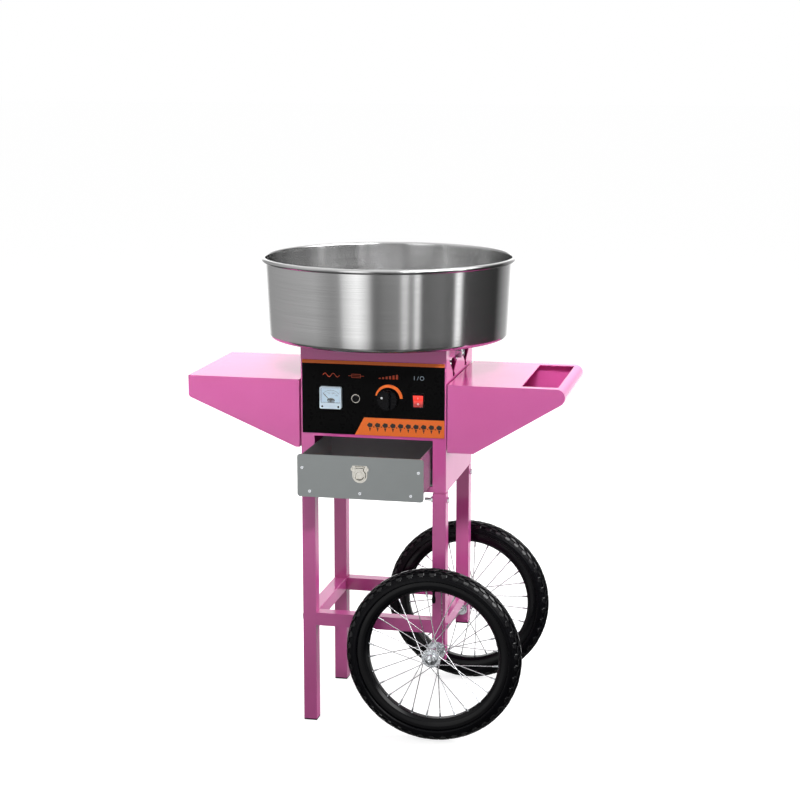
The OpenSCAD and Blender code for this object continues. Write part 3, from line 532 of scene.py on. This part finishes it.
TYRE_C = 158 * MM  # circle of the section's middle
TYRE_S = 20 * MM  # half width of the section, over the tread
TREAD_STEPS = 46
TREAD_FLOOR = 17.3 * MM
TREAD_ROWS = [  # lean in degrees, shift in steps, half length in steps, half width in degrees, skew
    (0, 0.0, 0.34, 8.0, 0.0),
    (19, 0.5, 0.30, 6.2, 0.25),
    (36, 0.0, 0.30, 6.0, -0.2),
    (53, 0.5, 0.27, 7.4, 0.0),
]
SHOULDER_LEAN = 53
LUG_LEAN = math.radians(64)
LUG_HALF = math.radians(3.6)
WEAR = 0.15 * MM


def on_tyre(wheel, turn, lean, height):
    """A point on the tyre: turn round the axle, lean from the crown, height from the middle of the section."""
    r = TYRE_C + height * math.cos(lean)
    return wheel.place(r * math.cos(turn), r * math.sin(turn), height * math.sin(lean))


def tyre_section():
    """Half section of the casing, crown to bead, with its moulded sidewall ribs."""
    ribs = {58: 17.6, 69: 19.0, 74: 19.2, 75.5: 19.65, 77: 19.2, 92: 19.4, 94: 19.8, 96: 19.4}
    leans = sorted(set(list(range(0, 104, 4))) | set(ribs))
    points = []
    for lean in leans:
        s = ribs.get(lean, 17.4 if lean < 62 else 19.2) * MM
        a = math.radians(lean)
        points.append((TYRE_C + s * math.cos(a), s * math.sin(a)))
    tail = [(153.9, 17.5), (154.25, 14.6), (154.2, 12.4), (152.5, 11.75), (147, 11.6), (143, 9.6), (142, 8)]
    return points + [(r * MM, z * MM) for r, z in tail]


def knob_block(wheel, turn, lean, half_turn, half_lean, skew, top):
    """One tread block: a tapered box that follows the tyre's curve."""
    verts = []
    for height, shrink in ((TREAD_FLOOR - 0.4 * MM, 1.12), (top - 0.45 * MM, 1.0), (top, 0.84)):
        for u, v in ((-1, -1), (1, -1), (1, 1), (-1, 1)):
            verts.append(on_tyre(wheel, turn + (u * half_turn + skew * v * half_lean) * shrink,
                                 lean + v * half_lean * shrink, height))
    faces = [(0, 1, 2, 3), (8, 9, 10, 11)]
    for level in (0, 4):
        faces += [(level + i, level + (i + 1) % 4, level + 4 + (i + 1) % 4, level + 4 + i) for i in range(4)]
    return verts, faces


def tyre(wheel):
    """Casing, rows of tread blocks with a lug under each shoulder block, and the valve."""
    half = tyre_section()
    profile = half + [(r, -z) for r, z in half[:0:-1]]
    casing = lathe(profile, 224, wheel.place)
    made = piece("tyre_%s_casing" % wheel.end, *casing, looks["tyre_rubber"], wheel.body, "tyre_rubber", 60)
    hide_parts("tyre_" + wheel.end)
    step = 2 * math.pi / TREAD_STEPS
    blocks = []
    for i in range(TREAD_STEPS):
        for lean, shift, half_turn, half_lean, skew in TREAD_ROWS:
            turn = (i + shift) * step
            for side in ((1,) if lean == 0 else (-1, 1)):
                top = TYRE_S - (WEAR if (i + lean) % 2 else 0)
                blocks.append(knob_block(wheel, turn, math.radians(lean * side), half_turn * step,
                                         math.radians(half_lean), skew * side, top))
                if lean == SHOULDER_LEAN:
                    blocks.append(knob_block(wheel, turn, LUG_LEAN * side, half_turn * step * 0.55,
                                             LUG_HALF, 0, TYRE_S - WEAR))
    piece("tyre_%s_tread" % wheel.end, *join(*blocks), looks["tread"], wheel.body, "tyre_rubber", 20)
    valve(wheel)


def valve(wheel):
    """Valve stem with its ribbed cap, at the top of the wheel."""
    stem = [(4.2, 132.5), (4.2, 130), (2.7, 128.5), (2.7, 117.5)]
    cap = [(3.4, 118.5), (4.0, 117), (3.8, 114.5), (4.0, 112), (3.8, 109.5), (3.3, 106.6)]
    steps = 24

    def capped(profile):
        verts, faces = lathe([(r * MM, z * MM) for r, z in profile], steps,
                             lambda x, y, z: wheel.place(x, z, y), closed=False)
        for end in (0, len(profile) - 1):
            faces.append(tuple(i * len(profile) + end for i in range(steps)))
        return verts, faces

    verts, faces = join(capped(stem), capped(cap))
    piece("valve_" + wheel.end, verts, faces, looks["black_plastic"], wheel.body, "black_plastic", 40)


RIM_IN = 132 * MM
FLANGE_Y = 24 * MM
FLANGE_T = 2.6 * MM
HOLE_CIRCLE = 16.5 * MM
SPOKE_R = 0.9 * MM
SPOKES = 28
CROSS = math.radians(2 * 720 / SPOKES)  # how far a hub hole is turned from the spoke's place in the rim


def rim(wheel):
    """Double-walled rim with hooked edges."""
    outline = rounded([(132, -7), (138, -13.6), (146, -14), (154, -14), (154, -12.1), (148, -12.1), (141, -9),
                       (141, 9), (148, 12.1), (154, 12.1), (154, 14), (146, 14), (138, 13.6), (132, 7)],
                      [3, 5, 3, 0.9, 0.8, 2, 2, 2, 2, 0.8, 0.9, 3, 5, 3], 5)
    body = lathe([(r * MM, z * MM) for r, z in outline], 192, wheel.place)
    made = piece("rim_%s_hoop" % wheel.end, *body, looks["rim_paint"], wheel.body, "rim_paint", 45)
    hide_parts("rim_" + wheel.end)


def spoke_set(wheel):
    """Spokes with hooked heads in the hub flanges, and their nipples in the rim."""
    wires = []
    nipples = []
    for s in (0, 1):
        side = 2 * s - 1
        for i in range(SPOKES // 2):
            rim_angle = (2 * i + s + 0.5) * 2 * math.pi / SPOKES
            over = 1 if i % 2 == 0 else -1
            hub_angle = rim_angle + over * CROSS
            lift = over * (FLANGE_T / 2 + SPOKE_R)
            hole = Vector((math.cos(hub_angle), math.sin(hub_angle), 0)) * HOLE_CIRCLE
            outer = Vector((RIM_IN * math.cos(rim_angle), RIM_IN * math.sin(rim_angle), side * 3 * MM))
            flange_z = side * FLANGE_Y
            head_z = flange_z - lift * 1.15
            elbow = hole + Vector((0, 0, flange_z + lift))
            unit = (outer - elbow).normalized()
            path = [hole + Vector((0, 0, head_z)), hole + Vector((0, 0, flange_z + lift * 0.35)),
                    hole + Vector((0, 0, flange_z + lift * 0.8)) + unit * 0.3 * MM, elbow + unit * 1.3 * MM,
                    elbow + unit * 3 * MM, outer]
            radii = [SPOKE_R * 1.1] * 3 + [SPOKE_R] * 3
            wires.append(tube([wheel.place(*p) for p in path], radii, 8))
            head = hole + Vector((0, 0, head_z))
            away = Vector((0, 0, -1 if lift > 0 else 1)) * 0.9 * MM
            wires.append(tube([wheel.place(*head), wheel.place(*(head + away * 0.5)), wheel.place(*(head + away))],
                              [1.9 * MM, 1.75 * MM, 1.0 * MM], 10))
            steps = [(0, 2.4), (1.2, 2.3), (1.4, 1.75), (10.5, 1.6), (12, 1.2)]
            nipples.append(tube([wheel.place(*(outer - unit * d * MM)) for d, r in steps],
                                [r * MM for d, r in steps], 10))
    made = piece("spokes_%s_wires" % wheel.end, *join(*wires), looks["spoke_steel"], wheel.body, "spoke_steel", 50)
    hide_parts("spokes_" + wheel.end)
    piece("spokes_%s_nipples" % wheel.end, *join(*nipples), looks["bright_zinc"], wheel.body, "bright_zinc", 35)


def hub_cap(wheel):
    """Pressed dust cap in the outer end of the hub, and the raised bead round it."""
    profile = [(10.4, 26), (12.6, 28.9), (12.7, 29.6), (11.6, 30.1), (10.6, 30.6), (10.3, 35.5), (9.4, 37.6),
               (6.5, 39.2), (3.2, 39.5), (2.8, 39.1), (0, 39.0)]
    verts, faces = lathe([(r * MM, z * MM) for r, z in profile], 56, wheel.place, closed=False)
    made = piece("hub_cap_" + wheel.end, verts, faces, looks["bright_zinc"], wheel.body, "bright_zinc", 32)
    thick = made.modifiers.new("sheet", "SOLIDIFY")
    thick.thickness = 0.4 * MM
    thick.offset = -1


# ---------- control panel ----------

INK = 0.12 * MM
INK_FOOT = -0.02 * MM


def on_face(y):
    """Maps (u, v, depth) onto a face that looks towards -Y and stands at y."""
    return lambda u, v, depth: Vector((u, y - depth, v))


on_panel = on_face(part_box("control_panel")[0].y)


def marks(name, outlines, look, place=on_panel, high=INK):
    """Printed marks on the cart's fixed parts, and the painted shade on the meter's dial: thin plates on a flat face.
    """
    piece(name, *join(*[prism(o, INK_FOOT, high, place) for o in outlines]), look, "cart", None, 20)


def millimetres(points):
    return [Vector(p) * MM for p in points]


def stroke(points, width=1.1):
    return ribbon(millimetres(points), width * MM)


def centre_x(node):
    low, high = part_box(node)
    return (low.x + high.x) / 2


def pictograms():
    """Signs over the instruments: mains wave, fuse, rising bars, and a bar and ring for the switch."""
    z = 727
    instruments = ("meter_case", "fuse_holder", "knob", "switch_housing")
    meter, fuse_x, knob, switch = [centre_x(name) * 1000 for name in instruments]
    wave = [(meter - 17 + i, z + 3.6 * math.sin(i * math.pi / 8.5)) for i in range(35)]
    fuse = [stroke([(fuse_x - 16, z), (fuse_x + 16, z)], 0.9)]
    fuse += [stroke([(fuse_x - 9, z + s * 3.4), (fuse_x + 9, z + s * 3.4)], 0.9) for s in (-1, 1)]
    fuse += [stroke([(fuse_x + s * 9, z - 3.8), (fuse_x + s * 9, z + 3.8)], 0.9) for s in (-1, 1)]
    bars = []
    for i in range(6):
        left, right = knob - 19 + 7 * i, knob - 15 + 7 * i
        bars.append(millimetres([(left, z - 4), (right, z - 4), (right, z - 1.5 + 1.4 * i), (left, z - 2 + 1.4 * i)]))
    marks("panel_signs", [stroke(wave, 1.2)] + fuse + bars, red_ink)
    bar = prism(stroke([(switch - 8, z - 4), (switch - 8, z + 4)], 1.3), INK_FOOT, INK, on_panel)
    slash = prism(stroke([(switch - 2.5, z - 4), (switch + 1, z + 4)], 0.7), INK_FOOT, INK, on_panel)
    ring = ring_outline(((switch + 7.5) * MM, z * MM), 4.2 * MM, 3.1 * MM, on_panel, INK_FOOT, INK)
    piece("switch_sign", *join(bar, slash, ring), grey_ink_and_painted_shade, "cart", None, 20)


CLOUDS = 10
CLOUD_PITCH = 15.6
CLOUD_SIZE = (5.8, 5.0)


def badge_ornament():
    """A row of candy floss clouds on cones, with a dot between each two, on the orange badge."""
    z = 625
    outlines = []
    for i in range(CLOUDS):
        x = -6 + CLOUD_PITCH * i
        cloud = []
        for k in range(60):
            a = 2 * math.pi * k / 60
            puff = 0.84 + 0.16 * abs(math.sin(2.5 * a))
            cloud.append((x + CLOUD_SIZE[0] * puff * math.cos(a), z + 4.0 + CLOUD_SIZE[1] * puff * math.sin(a)))
        outlines.append(millimetres(cloud))
        outlines.append(millimetres([(x - 2.2, z - 1.6), (x, z - 9.5), (x + 2.2, z - 1.6)]))
        if i < CLOUDS - 1:
            outlines.append(millimetres(arc((x + CLOUD_PITCH / 2, z + 0.5), 1.3, 0, 330, 11)))
    marks("badge_ornament", outlines, black_ink, on_face(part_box("panel_trim")[0].y))


SCALE_R = 21.5
FIGURE_R = 15.8
SCALE_START = 135
FIGURE_DEPTH = 0.04 * MM


def meter_print():
    """Scale arcs, ticks, figures and the dark magnet window of the voltmeter's dial, and a grey half disc of painted
    shade below the window.
    """
    dial_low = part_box("meter_dial")[0]
    on_dial = on_face(dial_low.y)
    x = centre_x("meter_dial") * 1000
    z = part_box("meter_needle")[0].z * 1000 + 2
    grey = [stroke(arc((x, z), r, 40, 140, 30), w) for r, w in ((SCALE_R, 0.35), (18.4, 0.25))]
    for i in range(31):
        a = math.radians(SCALE_START - 3 * i)
        reach, width = (22.4, 0.4) if i % 5 else (23.3, 0.6)
        grey.append(stroke([(x + r * math.cos(a), z + r * math.sin(a)) for r in (SCALE_R, reach)], width))
    marks("meter_scale", grey, grey_ink_and_painted_shade, on_dial, 0.08 * MM)
    case_low, case_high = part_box("meter_case")
    middle = (case_low.z + case_high.z) / 2 * 1000
    # painted shade: a grey half disc on the dial below the black window
    painted_shade_hump = arc((x, middle - 13.5), 8.4, 20, 160, 18)
    marks("meter_painted_shade", [millimetres(painted_shade_hump)], grey_ink_and_painted_shade, on_dial, 0.2 * MM)
    hood = arc((x, middle - 12.2), 11, 44.8, 135.2, 18) + arc((x, middle - 18.6), 13.4, 125.6, 54.4, 18)
    marks("meter_window", [millimetres(hood)], black_ink, on_dial, 0.5 * MM)
    for i, text in enumerate(("0", "50", "100", "150")):
        a = math.radians(SCALE_START - 30 * i)
        u, v = (x + FIGURE_R * math.cos(a)) * MM, (z + FIGURE_R * math.sin(a)) * MM
        curve = bpy.data.curves.new("figure", "FONT")
        curve.body = text
        curve.size = 4.2 * MM
        curve.align_x = "CENTER"
        curve.align_y = "CENTER"
        curve.extrude = FIGURE_DEPTH
        curve.resolution_u = 3
        temp = bpy.data.objects.new("figure", curve)
        scene.collection.objects.link(temp)
        bpy.context.view_layer.update()
        shape = temp.to_mesh()
        verts = [Vector((u + p.co.x, dial_low.y - FIGURE_DEPTH - p.co.z, v + p.co.y)) for p in shape.vertices]
        faces = [tuple(f.vertices) for f in shape.polygons]
        temp.to_mesh_clear()
        bpy.data.objects.remove(temp)
        piece("meter_figure_" + text, verts, faces, grey_ink_and_painted_shade, "cart", None, 20)


def fuse_ring():
    """Bright ring round the fuse holder's face."""
    low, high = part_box("fuse_holder")
    centre = Vector(((low.x + high.x) / 2, 0, (low.z + high.z) / 2))
    section = rounded([(7.0, -1.2), (8.9, -1.2), (8.9, 0.4), (7.0, 0.4)], 0.5, 4)
    verts, faces = lathe([(r * MM, d * MM) for r, d in section], 56,
                         lambda x, y, z: Vector((centre.x + x, low.y + z + 0.3 * MM, centre.z + y)))
    piece("fuse_ring", verts, faces, looks["nickel"], "cart", "nickel", 40)


def rocker_marks():
    """Bar and ring in white on the two halves of the rocker, which stands with its upper half out."""
    low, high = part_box("switch_rocker")
    x = (low.x + high.x) / 2
    y = low.y + 7.215 * MM  # the rocker's pivot
    z = high.z - 11.10 * MM
    rise, lean = 0.961, 0.276  # cosine and sine of the upper half's slope

    def on_upper(u, v, depth):
        return Vector((x + u, y - 5.5 * MM - lean * v - rise * depth, z + 5.3 * MM + rise * v - lean * depth))

    def on_lower(u, v, depth):
        return Vector((x + u, y - 3.88 * MM - depth, z - 6.2 * MM + v))

    bar = prism(stroke([(0, -1.8), (0, 1.8)], 0.9), -0.3 * MM, 0.1 * MM, on_upper)
    ring = ring_outline((0, 0), 1.8 * MM, 1.1 * MM, on_lower, -0.3 * MM, 0.1 * MM, 24)
    piece("rocker_marks", *join(bar, ring), white_ink, "switch_rocker", None, 20)


def knob_dot():
    """White pointer dot on the knob's skirt."""
    low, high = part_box("knob")
    centre = Vector(((low.x + high.x) / 2 - 11 * MM, low.y + 8.6 * MM, (low.z + high.z) / 2 + 4 * MM))
    section = [(0, -0.3), (1.95, -0.3), (1.95, 0.1), (1.7, 0.25), (0, 0.3)]
    verts, faces = lathe([(r * MM, d * MM) for r, d in section], 32,
                         lambda x, y, z: centre + Vector((x, -z, y)), closed=False)
    piece("knob_dot", verts, faces, white_ink, "knob", None, 30)


def meter_screws():
    """Dark screw heads in the meter's lower corners."""
    low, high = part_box("meter_case")
    parts = []
    for side in (-1, 1):
        x = (low.x + high.x) / 2 + side * 16.5 * MM
        z = low.z + 4.6 * MM
        head = [(0, -0.5), (1.9, -0.5), (1.9, 0.2), (1.6, 0.45), (0, 0.5)]
        parts.append(lathe([(r * MM, d * MM) for r, d in head], 24,
                           lambda u, v, d: Vector((x + u, low.y - d, z + v)), closed=False))
    piece("meter_screws", *join(*parts), looks["black_plastic"], "cart", "black_plastic", 30)


# ---------- drawer pull ----------


def pull_detail():
    """The raised crescent on the pull's flap, in a darker copy of the nickel: painted shade."""
    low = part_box("pull_flap")[0]
    centre_z = low.z + 12 * MM
    outer = arc((0, centre_z), 9.6 * MM, 200, 340, 24)
    inner = arc((0, centre_z + 1.6 * MM), 8.6 * MM, 338, 202, 24)
    verts, faces = prism(outer + inner, -0.3 * MM, 0.42 * MM, lambda u, v, d: Vector((u, low.y - d + 0.3 * MM, v)))
    # painted shade: the crescent gets the darker copy of the nickel
    made = piece("pull_crescent", verts, faces, looks["shade"], "pull_flap", "nickel", 30)
    bevel(made, 0.3 * MM)


# ---------- CAD nodes that stay ----------

PLAIN_EDGE = 0.3
EDGE = {  # width of the rounded edges in millimetres, where it isn't PLAIN_EDGE
    "housing_shell": 0.9, "shelf_left": 1.2, "shelf_right": 1.2, "back_cover": 0.7, "legs_left": 1.3,
    "legs_right": 1.3, "cross_stretchers": 1.3, "side_stretchers": 1.3, "leg_caps": 0.6, "drawer_front": 0.5,
    "drawer_box": 0.4, "control_panel": 0.4, "panel_trim": 0.08, "meter_case": 0.8, "meter_dial": 0.1,
    "switch_housing": 0.6, "switch_rocker": 0.5, "knob": 0.6, "hub_front": 0.4, "hub_rear": 0.4, "axles": 0.5,
    "frame_bolts": 0.35, "drawer_rivets": 0.35, "pull_flap": 0.5, "power_inlet": 0.6, "bowl_gasket": 0.6,
    "motor": 0.8,
}


def finish_cad():
    """Gives every CAD node that still shows its look and rounded edges."""
    for name, obj in nodes.items():
        for i, old in enumerate(obj.data.materials):
            slot = old.name.split(".")[0]
            if slot in looks:
                obj.data.materials[i] = looks[slot]
        if obj.hide_render:
            continue
        weld = obj.modifiers.new("weld", "WELD")
        weld.merge_threshold = 2e-6
        flat = obj.modifiers.new("flat_faces", "DECIMATE")
        flat.decimate_type = "DISSOLVE"
        flat.angle_limit = math.radians(0.6)
        bevel(obj, EDGE.get(name, PLAIN_EDGE) * MM)


# ---------- stage ----------

CAMERA_AT = Vector((0.82296, -3.62995, 1.37093))
CAMERA_DOWN = 10.92
CAMERA_TURN = 12.42
CAMERA_LENS = 82.74
TO_CAMERA = math.atan2(CAMERA_AT.x, -CAMERA_AT.y)
BRIGHTEST = 1.6
CARD_LEVEL = 6.0
OVERHEAD_LEVEL = 0.85
# light cards and gaps round the horizon: degrees from the camera's side, brightness
CARDS = [(-180, 1.5), (-160, 1.3), (-150, 0.36), (-73, 0.58), (-55, 0.40), (-47, 0.43), (-43, 0.95), (-35, 1.4),
         (-29, 1.6), (-23, 1.25), (-18, 0.75), (-15, 0.3), (-11, 0.23), (-3, 0.32), (10, 0.37), (13, 1.0),
         (17, 1.0), (19, 0.38), (23, 0.38), (24.5, 1.3), (28, 1.2), (30, 0.15), (50, 0.22), (63, 0.12),
         (66, 1.6), (70, 1.5), (73, 0.09), (120, 0.04), (133, 0.3), (150, 0.6), (160, 1.4), (180, 1.5)]


def studio_world():
    """White for the camera, soft light for surfaces, and for reflections a ring of light cards and dark gaps."""
    world = bpy.data.worlds.new("studio")
    scene.world = world
    world.use_nodes = True
    tree = world.node_tree
    tree.nodes.clear()

    def node(kind, *inputs):
        made = tree.nodes.new(kind)
        for i, value in enumerate(inputs):
            if value is None:
                continue
            if hasattr(value, "is_output"):
                tree.links.new(value, made.inputs[i])
            else:
                made.inputs[i].default_value = value
        return made

    def calc(operation, a, b=0.0):
        made = node("ShaderNodeMath", a, b)
        made.operation = operation
        return made.outputs[0]

    def ranged(value, low_in, high_in, low, high):
        return node("ShaderNodeMapRange", value, low_in, high_in, low, high).outputs[0]

    way = node("ShaderNodeTexCoord").outputs["Generated"]
    parts = node("ShaderNodeSeparateXYZ", way).outputs
    azimuth = calc("ARCTAN2", parts[0], calc("MULTIPLY", parts[1], -1.0))
    turned = calc("SUBTRACT", azimuth, TO_CAMERA)
    wrapped = node("ShaderNodeMath", turned, math.pi, -math.pi)
    wrapped.operation = "WRAP"
    share = calc("ADD", calc("DIVIDE", wrapped.outputs[0], 2 * math.pi), 0.5)
    ramp = node("ShaderNodeValToRGB", share)
    ramp.color_ramp.interpolation = "LINEAR"
    elements = ramp.color_ramp.elements
    while len(elements) > 1:
        elements.remove(elements[-1])
    for i, (angle, level) in enumerate(CARDS):
        spot = elements[0] if i == 0 else elements.new((angle + 180) / 360)
        spot.position = (angle + 180) / 360
        spot.color = (level / BRIGHTEST, level / BRIGHTEST, level / BRIGHTEST, 1)
    above = ranged(parts[2], -0.36, -0.25, 0.2, 1.0)
    banded = calc("MULTIPLY", calc("MULTIPLY", ramp.outputs[0], BRIGHTEST), above)
    lifted = node("ShaderNodeMix", ranged(parts[2], 0.35, 0.75, 0.0, 1.0), None, banded, OVERHEAD_LEVEL)
    # one bright card, high on the right, which lights the inside of the bowl
    rise = calc("MULTIPLY", ranged(parts[2], 0.36, 0.48, 0.0, 1.0), ranged(parts[2], 0.80, 0.90, 1.0, 0.0))
    width = calc("MULTIPLY", ranged(share, 0.53, 0.56, 0.0, 1.0), ranged(share, 0.73, 0.78, 1.0, 0.0))
    card = calc("ADD", lifted.outputs[0], calc("MULTIPLY", calc("MULTIPLY", rise, width), CARD_LEVEL))
    path = node("ShaderNodeLightPath").outputs
    soft = ranged(parts[2], -0.3, 0.4, 0.10, 0.42)
    level = node("ShaderNodeMix", path["Is Glossy Ray"], None, soft, card)
    final = node("ShaderNodeMix", path["Is Camera Ray"], None, level.outputs[0], 1.0)
    background = node("ShaderNodeBackground", (1, 1, 1, 1), final.outputs[0])
    tree.links.new(background.outputs[0], node("ShaderNodeOutputWorld").inputs[0])


def area_light(name, place, target, size, power, spread=180):
    """A soft box that neither reflections nor the camera see. spread: degrees."""
    data = bpy.data.lights.new(name, "AREA")
    data.shape = "RECTANGLE"
    data.size, data.size_y = size
    data.energy = power
    data.spread = math.radians(spread)
    light = bpy.data.objects.new(name, data)
    scene.collection.objects.link(light)
    light.location = place
    light.rotation_mode = "QUATERNION"
    light.rotation_quaternion = (Vector(target) - Vector(place)).to_track_quat("-Z", "Y")
    light.visible_glossy = False
    light.visible_camera = False


def floor():
    """Large pale floor, which only the camera and shadows meet: the bowl shows the light cards down to its foot."""
    look = Look("floor_pale", (0.5, 0.5, 0.5), 0.9, specular_ior_level=0.0)
    look.set("Emission Color", (1, 1, 1, 1))
    look.set("Emission Strength", 0.79)
    mesh = bpy.data.meshes.new("floor")
    reach = 40
    corners = [(-reach, -reach, 0), (reach, -reach, 0), (reach, reach, 0), (-reach, reach, 0)]
    mesh.from_pydata(corners, [], [(0, 1, 2, 3)])
    mesh.materials.append(look.mat)
    made = bpy.data.objects.new("floor", mesh)
    scene.collection.objects.link(made)
    made.visible_glossy = False
    made.visible_diffuse = False


def camera():
    """The camera fitted to the photograph."""
    data = bpy.data.cameras.new("camera")
    data.lens = CAMERA_LENS
    data.sensor_width = 36
    made = bpy.data.objects.new("camera", data)
    scene.collection.objects.link(made)
    made.location = CAMERA_AT
    made.rotation_euler = (math.radians(90 - CAMERA_DOWN), 0, math.radians(CAMERA_TURN))
    scene.camera = made


# ---------- assembly ----------

scene.view_settings.view_transform = "Standard"
studio_world()
floor()
camera()
area_light("key", (0.7, -3.0, 3.1), (0.05, -0.1, 1.0), (3.0, 0.5), 6.6, 20)
area_light("fill", (0.9, -3.4, 0.8), (0, 0, 0.6), (2.2, 1.2), 13)
area_light("side", (3.2, 0.6, 1.3), (0.1, 0, 0.35), (1.2, 1.2), 78)
area_light("left", (-3.2, -0.4, 1.6), (0, 0, 0.5), (1.6, 1.6), 26)
area_light("back", (-1.4, 3.3, 2.2), (0, 0, 0.6), (2.0, 2.0), 42)
area_light("top", (-0.2, 0.3, 3.6), (0, 0, 0.8), (1.6, 1.6), 46)

bowl_shell()
for end in ("front", "rear"):
    turning = Wheel(end)
    tyre(turning)
    rim(turning)
    spoke_set(turning)
    hub_cap(turning)
pictograms()
badge_ornament()
meter_print()
meter_screws()
knob_dot()
rocker_marks()
fuse_ring()
pull_detail()
finish_cad()
